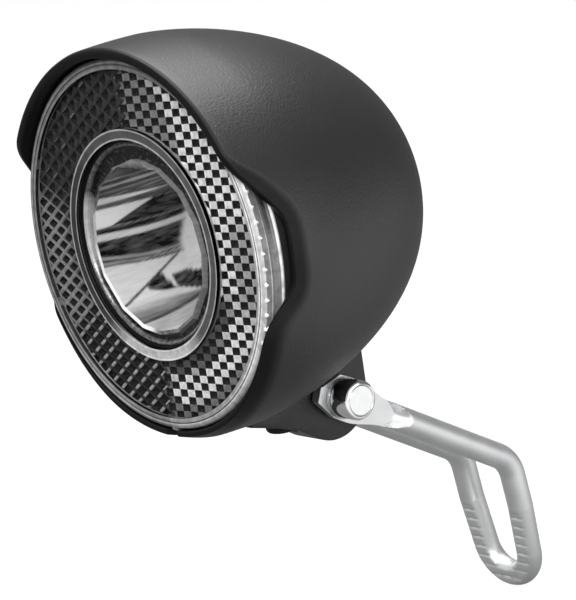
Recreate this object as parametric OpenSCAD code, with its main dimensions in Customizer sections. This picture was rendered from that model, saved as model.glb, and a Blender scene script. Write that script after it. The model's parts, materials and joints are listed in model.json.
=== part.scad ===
// Bicycle headlight on a bent wire bracket.
// The beam points along -Y and +Z is up. The origin is the middle of the bolt that clamps the
// bracket's loop to the fork crown, on the back face of the loop.
// Distances called "behind the lens" run along +Y from the front face of the lens.

/* [Lens] */
// Diameter of the clear front lens
lens_d = 68; // [60:1:74]
// Thickness of the lens face in front of the prisms
lens_face_t = 0.8; // [0.6:0.1:1]
// Thickness of the clear window in the middle of the lens
window_t = 1.8; // [1.2:0.1:2.4]
// Length of the lens skirt from the front face to its rear edge
skirt_len = 4.8; // [4.2:0.1:5.6]
// Wall of the lens skirt
skirt_t = 1.9; // [1.4:0.1:2.6]
// Wall of the clear rib between the prism ring and the window
rib_t = 1.3; // [0.8:0.1:1.8]
// Width of a snap tab on the skirt
tab_w = 1.6; // [1:0.1:3]
// Height of a snap tab above the skirt
tab_h = 0.7; // [0.4:0.1:0.9]
// Angles of the snap tabs from the top of the lens
tab_angles = [-113, -67, 67, 113, 180];

/* [Prism ring and carrier] */
// Inner diameter of the prism ring
prism_in_d = 42.6; // [38:0.2:46]
// Thickness of the prism ring
prism_t = 2.2; // [1.8:0.1:2.4]
// Wall of the carrier's black collar round the window
collar_t = 1.5; // [1:0.1:2]
// Radial clearance between the parts that nest in the lens
slip = 0.1; // [0.05:0.01:0.2]
// Thickness of the rubber seal behind the lens
seal_t = 1.5; // [1:0.1:2.5]
// Width of the rubber seal
seal_w = 3.5; // [2.5:0.1:4.5]

/* [Housing] */
// Wall of the housing
wall = 1.8; // [1.6:0.1:2.6]
// Radial clearance between the lens and the mouth of the housing
mouth_clear = 0.3; // [0.2:0.05:0.6]
// How much the housing swells behind its mouth
swell = 0.5; // [0.2:0.1:1.5]
// Distance behind the lens where the housing is widest
widest_at = 9.3; // [6:0.1:14]
// Roundness of the housing's flank, 2 is an ellipse
flank_power = 1.6; // [1.4:0.05:2.2]
// Squareness of the housing's back, 2 is an ellipse
back_power = 2.8; // [2:0.05:3.2]
// How far the visor stands in front of the lens
visor_len = 2.4; // [1.5:0.1:6]
// Radius of the round side opening, seen from the side
side_r = 28; // [24:0.5:32]
// Distance behind the lens that the side opening reaches
side_depth = 3.7; // [2.5:0.1:4.5]
// How far the middle of the side opening lies above the lens's centre
side_lift = 0.6; // [0:0.2:2]
// How far the flare round the side opening runs back over the skin
flare = 3.6; // [1.5:0.1:5]
// Width of the bevel on the lower lip, along the axis
lip_len = 3.5; // [2:0.1:5]
// Depth of the bevel on the lower lip, inwards
lip_in = 0.9; // [0.4:0.1:1]
// Thickness of the inner ledge behind the seal
ledge_t = 2; // [1.5:0.1:3]

/* [Light unit] */
// Wall of the reflector
bowl_wall = 1.6; // [1.2:0.1:2]
// Focal length of the reflector
focal_len = 10; // [9:0.1:12]
// How far the reflector's flat roof lies below the top of its opening
roof_drop = 3.1; // [2.6:0.1:4]
// Width of the reflector's fixing flange outside its tube
flange_w = 6.3; // [5.6:0.1:7.5]
// Width of the lamp board, across the lamp
led_board_w = 16; // [13.4:0.2:18]
// Length of the lamp board, along the lamp
led_board_l = 14; // [10:0.2:16]
// Thickness of the lamp board
led_board_t = 1.2; // [1:0.1:2]
// Side of the square light-emitting package
led_size = 3.4; // [2.8:0.1:4]
// Thickness of the heat sink's base
sink_base_t = 2; // [1.5:0.1:3]
// Height of the heat sink's fins
fin_h = 6; // [3:0.5:7]
// Thickness of a heat sink fin
fin_t = 1; // [0.8:0.1:1.2]
// Gap between a heat sink screw's head and the fin on each side of it
sink_screw_gap = 0.4; // [0.2:0.05:0.6]
// Thread diameter of the small screws
screw_d = 2; // [1.6:0.1:2.2]
// Head diameter of the small screws
screw_head_d = 3.6; // [3:0.1:4]
// Head height of the small screws
screw_head_h = 1.4; // [1:0.1:1.8]

/* [Driver board] */
// Free depth between the reflector's back and the driver board
front_room = 8.6; // [8:0.2:12]
// Thickness of the driver board
board_t = 1.6; // [1:0.1:2]
// Radial clearance between the driver board and the housing
board_clear = 0.8; // [0.5:0.1:2]
// Free depth between the driver board and the inside of the housing's back
tail_room = 14.2; // [12:0.2:18]
// Diameter of a post that carries the driver board
post_d = 6; // [5:0.2:8]
// Depth that a board screw goes into its post
screw_grip = 6; // [4:0.2:7]
// Diameter of the storage capacitor
cap_d = 10; // [7:0.5:11]
// Height of the storage capacitor
cap_h = 9; // [6:0.5:10]
// Diameter of the choke
choke_d = 8; // [6:0.5:10]
// Height of the choke
choke_h = 5; // [3:0.5:7]
// Diameter of a lead to the lamp board
lead_d = 1; // [0.6:0.1:1.1]
// Length of a cable blade
blade_l = 6.4; // [4:0.2:7]

/* [Lug and pivot] */
// Distance of the pivot behind the lens
pivot_back = 34.8; // [32:0.2:38]
// Distance from the housing's skin down to the pivot
pivot_gap = 6.7; // [6.4:0.1:9]
// Thickness of the lug across the lamp
lug_t = 8.4; // [8:0.2:10]
// Radius of the lug's round end
lug_r = 8.4; // [7:0.1:9]
// Length of the lug's nose in front of the pivot
lug_nose = 20; // [18:0.5:23]
// Diameter of the pivot bolt's shank
bolt_d = 5; // [4:0.1:6]
// Radial running clearance of the shank in the lug
bolt_fit = 0.05; // [0.03:0.01:0.1]
// Radial clearance of the shank in the bracket's eyes
eye_clear = 0.1; // [0.05:0.01:0.3]
// Diameter of the bolt's round head
head_d = 7.2; // [6.6:0.1:9]
// Height of the bolt's round head
head_h = 4.5; // [2:0.1:5]
// Bevel on the rim of the head
head_bevel = 0.5; // [0.2:0.1:1]
// Diameter of a washer
washer_d = 9; // [8.4:0.1:10]
// Thickness of a washer
washer_t = 0.8; // [0.5:0.1:1.2]
// Width of the nut across its flats
nut_af = 8; // [7.5:0.1:10]
// Height of the nut
nut_h = 4; // [3:0.1:5]
// Length of the bolt's thread that shows past the nut
bolt_end = 1; // [0.5:0.1:3]

/* [Cable inlet] */
// Distance of the cable inlet in front of the pivot
inlet_fwd = 10; // [9:0.2:11]
// Diameter of the grommet's spigot
grommet_d = 6; // [5:0.1:6.6]
// Diameter of the hole in the grommet
grommet_hole = 3; // [2:0.1:3.6]
// Length of the grommet's nose below the pivot's level
grommet_low = 4.9; // [4.6:0.1:7]
// Diameter of the grommet's inner flange
grommet_flange_d = 7.6; // [7.2:0.1:9]
// Thickness of the grommet's inner flange
grommet_flange_t = 1.2; // [0.8:0.1:2]

/* [Bracket] */
// Diameter of the bracket's wire
wire_d = 5; // [4:0.1:6]
// Clearance between the lug and the flat eyes, each side
lug_clear = 0.1; // [0.05:0.01:0.2]
// Clearance between the lug and the round wire, each side
wire_clear = 0.3; // [0.2:0.05:0.6]
// Slope of the arm below the level, in degrees
arm_drop = 31.5; // [15:0.5:45]
// Length of the arm from the pivot to the corner
arm_len = 45.5; // [36:0.1:60]
// Backward lean of the loop, in degrees
leg_lean = 8; // [0:1:10]
// Length of the leg from the corner to the middle of the loop's end
leg_len = 19.8; // [17:0.2:30]
// Radius of the bend at the corner, at the wire's middle
bend_r = 7; // [5:0.5:9]
// Width of the flat eye
eye_w = 8.2; // [8:0.1:9]
// Thickness of the flat eye
eye_t = 2.4; // [1.6:0.1:3]
// Radius of the eye's clipped end
eye_r = 5.6; // [5.2:0.1:6]
// Length of the flat eye behind the pivot
eye_len = 9.5; // [8.5:0.1:12]
// Radius of the loop's round end, at the wire's middle
loop_r = 6.1; // [5.6:0.1:7]
// Thickness of the loop between the flats pressed on its front and back
band_t = 4.2; // [3:0.1:4.6]
// Length of the pressed flats above the middle of the loop's round end
band_len = 9.9; // [6:0.1:12]
// Spacing of the grip grooves
groove_pitch = 2; // [1.5:0.1:3]
// Depth of the grip grooves
groove_depth = 0.3; // [0.1:0.05:0.5]

/* [Hidden] */
$fn = 96;

// A cutter runs this far past the face that it opens
past = 1;

// Radii of the parts that nest in the lens, from the outside in
lens_r = lens_d / 2;
skirt_in_r = lens_r - skirt_t;
prism_in_r = prism_in_d / 2;
rib_r = prism_in_r - slip;
rib_in_r = rib_r - rib_t;
collar_r = rib_in_r - slip;
tube_r = collar_r - collar_t - slip;
open_r = tube_r - bowl_wall;
flange_r = tube_r + flange_w;

// Distances behind the lens of the faces that stack up
prism_back = lens_face_t + prism_t;
seal_back = skirt_len + seal_t;
ledge_back = seal_back + ledge_t;
flange_back = skirt_len + bowl_wall;

// The reflector is the lower half of a paraboloid whose axis lies along its roof
roof_z = open_r - roof_drop;
roof_t = bowl_wall;
bowl_back = skirt_len + pow(roof_z + open_r, 2) / (4 * focal_len);
lamp_y = bowl_back - focal_len;
lamp_board_z = roof_z + roof_t;
sink_z = lamp_board_z + led_board_t;

// A heat sink screw stands between an outer fin, at the board's side, and an inner one
sink_screw_x = led_board_w / 2 - fin_t - sink_screw_gap - screw_head_d / 2;
inner_fin_x = sink_screw_x - screw_head_d / 2 - sink_screw_gap - fin_t;

// The driver board and the housing's length follow the reflector
board_y = bowl_back + bowl_wall + front_room;
board_back = board_y + board_t;
housing_len = board_back + tail_room + wall;

// The housing's skin is turned about the beam's axis
mouth_r = lens_r + mouth_clear;
max_r = mouth_r + wall + swell;
skin_steps = 22;
function front_r(y) = max_r - swell * pow((widest_at - y) / (widest_at + visor_len), 2);
function turned_r(y, r, len) =
    r * pow(1 - pow((y - widest_at) / (len - widest_at), flank_power), 1 / back_power);
function skin_r(y) = turned_r(y, max_r, housing_len);
function inside_r(y) = turned_r(y, max_r - wall, housing_len - wall);
function turned_back(r, len) =
    [for (i = [1 : skin_steps]) let (a = 90 * i / skin_steps)
        [r * pow(cos(a), 2 / back_power), widest_at + (len - widest_at) * pow(sin(a), 2 / flank_power)]];
function turned_front(y0) =
    [for (i = [0 : 6]) let (y = y0 + (widest_at - y0) * i / 6) [front_r(y), y]];

// The driver board's outline, its posts and the row of diodes below the choke
board_r = inside_r(board_back) - board_clear;
post_at = board_r - post_d / 2 - screw_head_d / 2;
part_gap = 2;
diode = [2.6, 2.2, 4.4];
diode_z = -choke_d / 2 - part_gap - diode[2];

// The pivot, the bracket and the clamp point, in the lens's frame
pivot_z = -skin_r(pivot_back) - pivot_gap;
eye_x = lug_t / 2 + lug_clear;
wire_x = lug_t / 2 + wire_clear + wire_d / 2;
head_x = eye_x + eye_t + washer_t;
bend_turn = 90 - arm_drop - leg_lean;
bend_tan = bend_r * tan(bend_turn / 2);
corner_y = pivot_back + arm_len * cos(arm_drop);
corner_z = pivot_z - arm_len * sin(arm_drop);
clamp_y = corner_y + leg_len * sin(leg_lean) + band_t / 2 * cos(leg_lean);
clamp_z = corner_z - leg_len * cos(leg_lean) + band_t / 2 * sin(leg_lean);
inlet_y = pivot_back - inlet_fwd;

// Moves the lens's frame so that the clamp point is the origin
module seat() translate([0, -clamp_y, -clamp_z]) children();

// Turns a shape that stands on +Z so that it runs back along +Y
module backward(y = 0) translate([0, y, 0]) rotate([-90, 0, 0]) children();

// Lays a flat outline in the side view, Y to the right and Z up, with a thickness across the lamp
module side_plate(t) rotate([90, 0, 90]) linear_extrude(t, center = true) children();

// A round bar along the lamp, from one distance behind the lens to another
module bar(d, y0, y1, x = 0, z = 0) translate([x, 0, z]) backward(y0) cylinder(d = d, h = y1 - y0);

// A ring turned about the beam's axis
module ring(r_in, r_out, y0, y1)
    backward() rotate_extrude() translate([r_in, y0]) square([r_out - r_in, y1 - y0]);

// Places something at an angle from the top of the lens
module at_angle(a) rotate([0, a, 0]) children();

// A small screw whose head rests on the face at the origin, with its shank down along -Z
module small_screw(grip) {
    cylinder(d = screw_head_d, h = screw_head_h);
    translate([0, 0, -grip]) cylinder(d = screw_d, h = grip + screw_head_h / 2);
}

// The hole that such a screw fills
module screw_hole(grip) {
    hole_clear = 0.02;
    translate([0, 0, -grip]) cylinder(d = screw_d + 2 * hole_clear, h = grip + past);
}

// Housing: one black moulding with the visor, the side openings, the lug and the board posts

module skin_solid()
    backward() rotate_extrude()
        polygon(concat([[0, -visor_len]], turned_front(-visor_len), turned_back(max_r, housing_len)));

module cavity() {
    difference() {
        backward() rotate_extrude()
            polygon(concat([[0, 0], [max_r - wall, 0], [max_r - wall, widest_at]],
                           turned_back(max_r - wall, housing_len - wall)));
        bar(3 * max_r, -past, ledge_back);
    }
    bar(2 * mouth_r, -visor_len - past, seal_back);
    bar(2 * (mouth_r - seal_w), 0, ledge_back + past);
}

module lug_outline() {
    chin_slope = 33;
    chin = [lug_r * sin(chin_slope), lug_r * cos(chin_slope)];
    chin_run = 5;
    tip_low = 1.2;
    tip = [-lug_nose, -tip_low];
    tip_run = 6;
    tip_fall = 1.8;
    root_h = pivot_gap + wall;
    translate([pivot_back, pivot_z]) {
        circle(r = lug_r);
        polygon([[lug_r, 0], [lug_r, root_h + lug_r], [tip[0], root_h], tip, tip + [tip_run, -tip_fall],
                 [-chin[0] - chin_run * cos(chin_slope), -chin[1] + chin_run * sin(chin_slope)], -chin]);
    }
}

module side_openings() {
    far = 2 * max_r;
    edge_x = mouth_r + wall / 4;
    translate([0, side_depth - side_r, side_lift]) {
        rotate([0, 90, 0]) cylinder(r = side_r, h = 2 * far, center = true);
        for (s = [-1, 1])
            translate([s * edge_x, 0, 0]) rotate([0, s * 90, 0])
                cylinder(r1 = side_r, r2 = side_r + 2 * flare, h = 2 * (max_r - edge_x));
    }
    translate([-far, -far, side_lift - far]) cube([2 * far, far, far]);
}

module lower_lip_bevel()
    difference() {
        backward() rotate_extrude()
            polygon([[mouth_r + wall - lip_in, -past], [mouth_r + wall - lip_in, 0],
                     [front_r(lip_len), lip_len], [max_r + past, lip_len], [max_r + past, -past]]);
        translate([-2 * max_r, -max_r, side_lift]) cube([4 * max_r, 2 * max_r, 2 * max_r]);
    }

module tabs(grow)
    for (a = tab_angles)
        at_angle(a)
            translate([-tab_w / 2 - grow, lens_face_t - grow, lens_r - skirt_t / 2])
                cube([tab_w + 2 * grow, tab_w + 2 * grow, skirt_t / 2 + tab_h + grow]);

module housing() {
    tab_clear = 0.2;
    color("#3c3c3e") seat() {
        difference() {
            union() {
                skin_solid();
                side_plate(lug_t) lug_outline();
            }
            cavity();
            side_openings();
            lower_lip_bevel();
            tabs(tab_clear);
            translate([0, pivot_back, pivot_z]) rotate([0, 90, 0])
                cylinder(d = bolt_d + 2 * bolt_fit, h = lug_t + 2 * past, center = true);
            translate([0, inlet_y, 2 * pivot_z]) cylinder(d = grommet_d + 2 * bolt_fit, h = -1.5 * pivot_z);
        }
        for (s = [-1, 1])
            difference() {
                intersection() {
                    bar(post_d, board_back, housing_len, s * post_at);
                    skin_solid();
                }
                translate([s * post_at, board_back, 0]) rotate([90, 0, 0]) screw_hole(screw_grip);
            }
    }
}

// Front lens: one clear moulding with the window, a recess for the prisms, the skirt and its tabs
module front_lens() {
    edge = 0.6;
    color("#d9dee0") seat() {
        backward() rotate_extrude()
            polygon([[0, 0], [lens_r - edge, 0], [lens_r, edge], [lens_r, skirt_len],
                     [skirt_in_r, skirt_len], [skirt_in_r, lens_face_t], [rib_r, lens_face_t],
                     [rib_r, prism_back], [rib_in_r, prism_back], [rib_in_r, window_t], [0, window_t]]);
        tabs(0);
    }
}

// Prism ring: the clear corner-cube reflector plate that lies in the lens's recess
module prism_ring()
    color("#9aa0a2") seat() ring(prism_in_r, skirt_in_r - slip, lens_face_t, prism_back);

// Lens carrier: the black ring that closes the back of the prisms, with a collar round the window
module lens_carrier() {
    blind = 0.4;
    color("#141415") seat() difference() {
        backward() rotate_extrude()
            polygon([[tube_r + slip, window_t], [collar_r, window_t], [collar_r, prism_back],
                     [skirt_in_r - slip, prism_back], [skirt_in_r - slip, skirt_len],
                     [tube_r + slip, skirt_len]]);
        reflector_screw_places(skirt_len) screw_hole(skirt_len - prism_back - blind);
    }
}

// Lens seal: flat rubber ring between the lens and the housing's ledge
module lens_seal()
    color("#0c0c0c") seat() ring(mouth_r - seal_w, mouth_r - slip, skirt_len, seal_back);

// Lamp reflector: metallised bowl under a flat roof, with a tube to the window and a fixing flange

module paraboloid(back) {
    steps = 16;
    depth = back - window_t + past;
    translate([0, 0, roof_z]) backward() rotate_extrude()
        polygon(concat([[0, back - depth]],
                       [for (i = [0 : steps - 1]) let (d = depth * pow(1 - i / steps, 2))
                           [sqrt(4 * focal_len * d), back - d]],
                       [[0, back]]));
}

module below(z) translate([-max_r, -max_r, z - 3 * max_r]) cube([2 * max_r, 4 * max_r, 3 * max_r]);

module reflector_screw_places(y) {
    for (a = [30, 150, 270])
        at_angle(a) translate([0, y, tube_r + flange_w / 2]) rotate([-90, 0, 0]) children();
}

module sink_screw_places(z)
    for (s = [-1, 1]) translate([s * sink_screw_x, lamp_y, z]) children();

module lamp_reflector() {
    led_clear = 0.4;
    blind = 0.3;
    led_hole = led_size + 2 * led_clear;
    color("#c9ccd0") seat() difference() {
        union() {
            intersection() {
                bar(2 * tube_r, window_t + slip, bowl_back + bowl_wall);
                paraboloid(bowl_back + bowl_wall);
                below(roof_z + roof_t);
            }
            ring(open_r, tube_r, window_t + slip, flange_back);
            ring(open_r, flange_r, skirt_len, flange_back);
        }
        intersection() {
            bar(2 * open_r, 0, bowl_back);
            paraboloid(bowl_back);
            below(roof_z);
        }
        bar(2 * open_r, 0, flange_back);
        translate([-led_hole / 2, lamp_y - led_hole / 2, roof_z - past])
            cube([led_hole, led_hole, roof_t + 2 * past]);
        reflector_screw_places(flange_back) screw_hole(flange_back);
        sink_screw_places(lamp_board_z) screw_hole(roof_t - blind);
    }
}

// Reflector screws: self-tapping, from behind through the flange into the carrier
module reflector_screws() {
    blind = 0.5;
    color("#8d9093") seat()
        reflector_screw_places(flange_back) small_screw(flange_back - prism_back - blind);
}

// Lamp board: aluminium-core board lying on the reflector's roof, lamp side down
module lamp_board()
    color("#e8e8e2") seat() difference() {
        translate([-led_board_w / 2, lamp_y - led_board_l / 2, lamp_board_z])
            cube([led_board_w, led_board_l, led_board_t]);
        sink_screw_places(sink_z) screw_hole(led_board_t + past);
    }

// Light emitter: the square package under the board, shining down into the bowl
module light_emitter()
    color("#f2d75c") seat()
        translate([-led_size / 2, lamp_y - led_size / 2, roof_z]) cube([led_size, led_size, roof_t]);

// Heat sink: finned aluminium block on top of the lamp board
module heat_sink()
    color("#a9adb1") seat() difference() {
        union() {
            translate([-led_board_w / 2, lamp_y - led_board_l / 2, sink_z])
                cube([led_board_w, led_board_l, sink_base_t]);
            for (x = [-led_board_w / 2, -inner_fin_x - fin_t, inner_fin_x, led_board_w / 2 - fin_t])
                translate([x, lamp_y - led_board_l / 2, sink_z])
                    cube([fin_t, led_board_l, sink_base_t + fin_h]);
        }
        sink_screw_places(sink_z + sink_base_t) screw_hole(sink_base_t + past);
    }

// Heat sink screws: through the heat sink and the board into the reflector's roof
module heat_sink_screws() {
    blind = 0.4;
    color("#8d9093") seat()
        sink_screw_places(sink_z + sink_base_t) small_screw(sink_base_t + led_board_t + roof_t - blind);
}

// Driver board: round board behind the reflector, screwed to the housing's posts
module driver_board()
    color("#2f6b43") seat() difference() {
        bar(2 * board_r, board_y, board_back);
        for (s = [-1, 1])
            translate([s * post_at, board_y, 0]) rotate([90, 0, 0]) screw_hole(board_t + past);
    }

// Board screws: self-tapping, from the front through the board into the posts
module board_screws() {
    blind = 0.4;
    color("#8d9093") seat()
        for (s = [-1, 1])
            translate([s * post_at, board_y, 0]) rotate([90, 0, 0])
                small_screw(board_t + screw_grip - blind);
}

// Storage capacitor: keeps the lamp lit while the bicycle stands
module storage_capacitor()
    color("#23408f") seat() bar(cap_d, board_back, board_back + cap_h);

// Board components: choke, regulator and rectifier diodes on the front of the driver board
module board_components() {
    chip = [6, 1.6, 5];
    pitch = 4;
    color("#1d1d1f") seat() {
        bar(choke_d, board_y - choke_h, board_y);
        for (i = [-1.5 : 1 : 1.5])
            translate([i * pitch - diode[0] / 2, board_y - diode[1], diode_z]) cube(diode);
        translate([-chip[0] / 2, board_y - chip[1], choke_d / 2 + part_gap]) cube(chip);
    }
}

// Lamp leads: two stiff wires from the driver board to the back edge of the lamp board
module lamp_leads() {
    spread = 5;
    color("#b4462f") seat()
        for (s = [-1, 1])
            bar(lead_d, lamp_y + led_board_l / 2, board_y, s * spread, lamp_board_z + led_board_t / 2);
}

// Cable blades: two brass blades on the driver board for the cable's clips
module cable_blades() {
    blade = [4.8, 0.8];
    blade_z = diode_z - part_gap - blade[1];
    spread = 6;
    color("#c9a24a") seat()
        for (s = [-1, 1])
            translate([s * spread - blade[0] / 2, board_y - blade_l, blade_z])
                cube([blade[0], blade_l, blade[1]]);
}

// Cable grommet: rubber bush in the nose of the lug, open for the cable
module cable_grommet() {
    flange_r = grommet_flange_d / 2;
    floor_z = -sqrt(pow(inside_r(inlet_y + flange_r), 2) - pow(flange_r, 2)) + slip;
    low_z = pivot_z - grommet_low;
    round_r = 0.8;
    color("#161616") seat() translate([0, inlet_y, 0]) difference() {
        union() {
            translate([0, 0, floor_z]) cylinder(d = grommet_flange_d, h = grommet_flange_t);
            translate([0, 0, low_z + round_r])
                cylinder(d = grommet_d, h = floor_z - low_z - round_r + past / 2);
            translate([0, 0, low_z]) cylinder(d1 = grommet_d - 2 * round_r, d2 = grommet_d, h = round_r);
        }
        translate([0, 0, low_z - past])
            cylinder(d = grommet_hole, h = floor_z - low_z + grommet_flange_t + 2 * past);
    }
}

// Wire bracket: one steel wire bent to a hairpin, with flat eyes at its ends and a flattened loop

module arm_frame() translate([0, pivot_back, pivot_z]) rotate([-arm_drop, 0, 0]) children();

module leg_frame() translate([0, corner_y, corner_z]) rotate([leg_lean - 90, 0, 0]) children();

module eye_outline() {
    taper = 2;
    tail = wire_d / 5;
    intersection() {
        circle(r = eye_r);
        translate([-2 * eye_r, -eye_w / 2]) square([3 * eye_r, eye_w]);
    }
    polygon([[0, -eye_w / 2], [eye_len, -eye_w / 2], [eye_len + taper, -tail],
             [eye_len + taper, tail], [eye_len, eye_w / 2], [0, eye_w / 2]]);
}

// The cold bends are a hair thicker than the wire, so the straight lengths end inside them
bulge = 0.06;
bend_d = wire_d + bulge;
join = 0.2;

module wire_side(s) {
    wire_gap = 1;
    arm_start = eye_len + wire_gap;
    arm_frame() {
        translate([s * (eye_x + eye_t / 2), 0, 0]) side_plate(eye_t) eye_outline();
        translate([s * wire_x, arm_start, 0]) sphere(d = bend_d);
        bar(wire_d, arm_start, arm_len - bend_tan + join, s * wire_x);
        translate([s * wire_x, arm_len - bend_tan, -bend_r])
            rotate([90, 0, 90]) rotate([0, 0, 90 - bend_turn])
                rotate_extrude(angle = bend_turn) translate([bend_r, 0]) circle(d = bend_d);
    }
    leg_frame() {
        bar(wire_d, bend_tan - join, leg_len - band_len, s * wire_x);
        translate([s * wire_x, leg_len - band_len, 0]) sphere(d = bend_d);
    }
}

// The two sides of the loop close in on its round end, with flats pressed on the front and back
module loop_end() {
    taper = acos(loop_r / norm([wire_x, band_len])) - atan2(band_len, wire_x);
    straight = sqrt(pow(wire_x, 2) + pow(band_len, 2) - pow(loop_r, 2));
    intersection() {
        union() {
            for (s = [-1, 1])
                translate([s * wire_x, leg_len - band_len, 0]) rotate([0, 0, s * taper])
                    bar(wire_d, -join, straight + join);
            translate([0, leg_len, 0]) rotate([0, 0, taper])
                rotate_extrude(angle = 180 - 2 * taper) translate([loop_r, 0]) circle(d = bend_d);
        }
        translate([-2 * wire_x, leg_len - band_len, -band_t / 2])
            cube([4 * wire_x, band_len + loop_r + wire_d, band_t]);
    }
}

module wire_bracket() {
    groove_count = floor((band_len + loop_r + wire_d / 2) / groove_pitch) - 1;
    groove_side = groove_depth * sqrt(2);
    color("#b9bbbd") seat() difference() {
        union() {
            for (s = [-1, 1]) wire_side(s);
            leg_frame() loop_end();
        }
        translate([0, pivot_back, pivot_z]) rotate([0, 90, 0])
            cylinder(d = bolt_d + 2 * eye_clear, h = 4 * wire_x, center = true);
        leg_frame()
            for (i = [1 : groove_count])
                translate([0, leg_len - band_len + i * groove_pitch, -band_t / 2]) rotate([45, 0, 0])
                    cube([4 * wire_x, groove_side, groove_side], center = true);
    }
}

// Pivot bolt, washers and nut: they clamp the eyes on the lug and set the lamp's tilt

module across() translate([0, pivot_back, pivot_z]) rotate([0, 90, 0]) children();

module pivot_bolt()
    color("#dfe2e4") seat() across() {
        translate([0, 0, -head_x - nut_h - bolt_end])
            cylinder(d = bolt_d, h = 2 * head_x + nut_h + bolt_end);
        translate([0, 0, head_x]) cylinder(d = head_d, h = head_h - head_bevel);
        translate([0, 0, head_x + head_h - head_bevel])
            cylinder(d1 = head_d, d2 = head_d - 2 * head_bevel, h = head_bevel);
    }

module pivot_washers()
    color("#c3c6c9") seat() across()
        for (z = [head_x - washer_t, -head_x])
            translate([0, 0, z]) difference() {
                cylinder(d = washer_d, h = washer_t);
                translate([0, 0, -past]) cylinder(d = bolt_d + 2 * eye_clear, h = washer_t + 2 * past);
            }

module pivot_nut() {
    thread_clear = 0.02;
    color("#c3c6c9") seat() across() translate([0, 0, -head_x - nut_h]) difference() {
        cylinder(d = nut_af / cos(30), h = nut_h, $fn = 6);
        translate([0, 0, -past]) cylinder(d = bolt_d + 2 * thread_clear, h = nut_h + 2 * past);
    }
}

housing();
front_lens();
prism_ring();
lens_carrier();
lens_seal();
lamp_reflector();
reflector_screws();
lamp_board();
light_emitter();
heat_sink();
heat_sink_screws();
driver_board();
board_screws();
storage_capacitor();
board_components();
lamp_leads();
cable_blades();
cable_grommet();
wire_bracket();
pivot_bolt();
pivot_washers();
pivot_nut();
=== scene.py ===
import json
import math

import bmesh
import bpy
from mathutils import Matrix, Vector


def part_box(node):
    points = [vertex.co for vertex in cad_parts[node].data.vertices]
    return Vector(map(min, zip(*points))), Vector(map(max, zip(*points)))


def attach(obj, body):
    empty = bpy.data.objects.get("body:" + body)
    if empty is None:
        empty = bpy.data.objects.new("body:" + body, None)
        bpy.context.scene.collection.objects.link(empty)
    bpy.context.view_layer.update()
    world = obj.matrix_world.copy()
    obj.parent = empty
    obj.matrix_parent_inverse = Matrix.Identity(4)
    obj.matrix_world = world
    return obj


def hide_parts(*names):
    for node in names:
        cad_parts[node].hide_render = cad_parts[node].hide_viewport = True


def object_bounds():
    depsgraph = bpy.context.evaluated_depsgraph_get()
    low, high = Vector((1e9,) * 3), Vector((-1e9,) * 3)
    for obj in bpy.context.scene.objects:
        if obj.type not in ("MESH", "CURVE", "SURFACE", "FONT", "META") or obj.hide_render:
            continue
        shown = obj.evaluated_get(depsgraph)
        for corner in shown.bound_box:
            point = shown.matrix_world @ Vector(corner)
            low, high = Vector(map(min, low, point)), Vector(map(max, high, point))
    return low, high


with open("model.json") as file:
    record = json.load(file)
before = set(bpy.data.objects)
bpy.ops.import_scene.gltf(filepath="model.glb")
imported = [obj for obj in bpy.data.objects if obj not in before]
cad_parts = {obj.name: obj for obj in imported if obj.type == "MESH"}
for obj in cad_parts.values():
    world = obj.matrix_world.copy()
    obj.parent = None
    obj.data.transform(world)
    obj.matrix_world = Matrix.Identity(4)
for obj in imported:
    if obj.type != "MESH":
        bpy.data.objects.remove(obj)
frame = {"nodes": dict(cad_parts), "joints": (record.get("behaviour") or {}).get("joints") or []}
cad_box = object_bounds()
scene = bpy.context.scene

# Viewpoint: the camera of the photograph, worked out from the lens's circles.
# Sizes in this file are millimetres from the middle of the lens's front face:
# x across to the bolt head's side, y back along the lamp, z up.
MM = 0.001
lens_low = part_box("front_lens")[0]
ring_low, ring_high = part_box("prism_ring")
lens_middle = Vector((0, lens_low.y, (ring_low.z + ring_high.z) / 2))


def at(x, y, z):
    return lens_middle + MM * Vector((x, y, z))


image_height = 600
view_focus = 2835
view_turn, view_lift, view_roll = (math.radians(a) for a in (52.08, 12.60, -8.74))
view_distance = 550
view_point = at(-18.2, 45.0, -23.2)
toward = Vector((math.sin(view_turn) * math.cos(view_lift),
                 -math.cos(view_turn) * math.cos(view_lift), math.sin(view_lift)))
level = Vector((math.cos(view_turn), math.sin(view_turn), 0))
camera_data = bpy.data.cameras.new("photo_camera")
camera_data.sensor_width = 36
camera_data.lens = camera_data.sensor_width * view_focus / image_height
camera_data.clip_start = 0.01
camera = bpy.data.objects.new("photo_camera", camera_data)
scene.collection.objects.link(camera)
camera.matrix_world = (Matrix.Translation(view_point + toward * view_distance * MM)
                       @ Matrix((level, toward.cross(level), toward)).transposed().to_4x4()
                       @ Matrix.Rotation(view_roll, 4, "Z"))
scene.camera = camera
scene.view_settings.view_transform = "Standard"


# Studio: a white sweep under the bracket, a broad soft panel overhead and two weaker ones.
# The camera sees the room as white. Gloss and soft light see it brighter in front than behind, and
# gloss sees the floor brighter at the back right.
def linear(colour):
    channels = (int(colour[i:i + 2], 16) / 255 for i in (1, 3, 5))
    return tuple(c / 12.92 if c <= 0.04045 else ((c + 0.055) / 1.055) ** 2.4 for c in channels) + (1,)


def add_node(tree, kind, inputs={}, **settings):
    made = tree.nodes.new("ShaderNode" + kind)
    for name, value in settings.items():
        setattr(made, name, value)
    for name, value in inputs.items():
        if isinstance(value, bpy.types.NodeSocket):
            tree.links.new(value, made.inputs[name])
        else:
            made.inputs[name].default_value = value
    return made


def new_material(name):
    made = bpy.data.materials.new(name)
    made.use_nodes = True
    made.node_tree.nodes.clear()
    return made, made.node_tree


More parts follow.
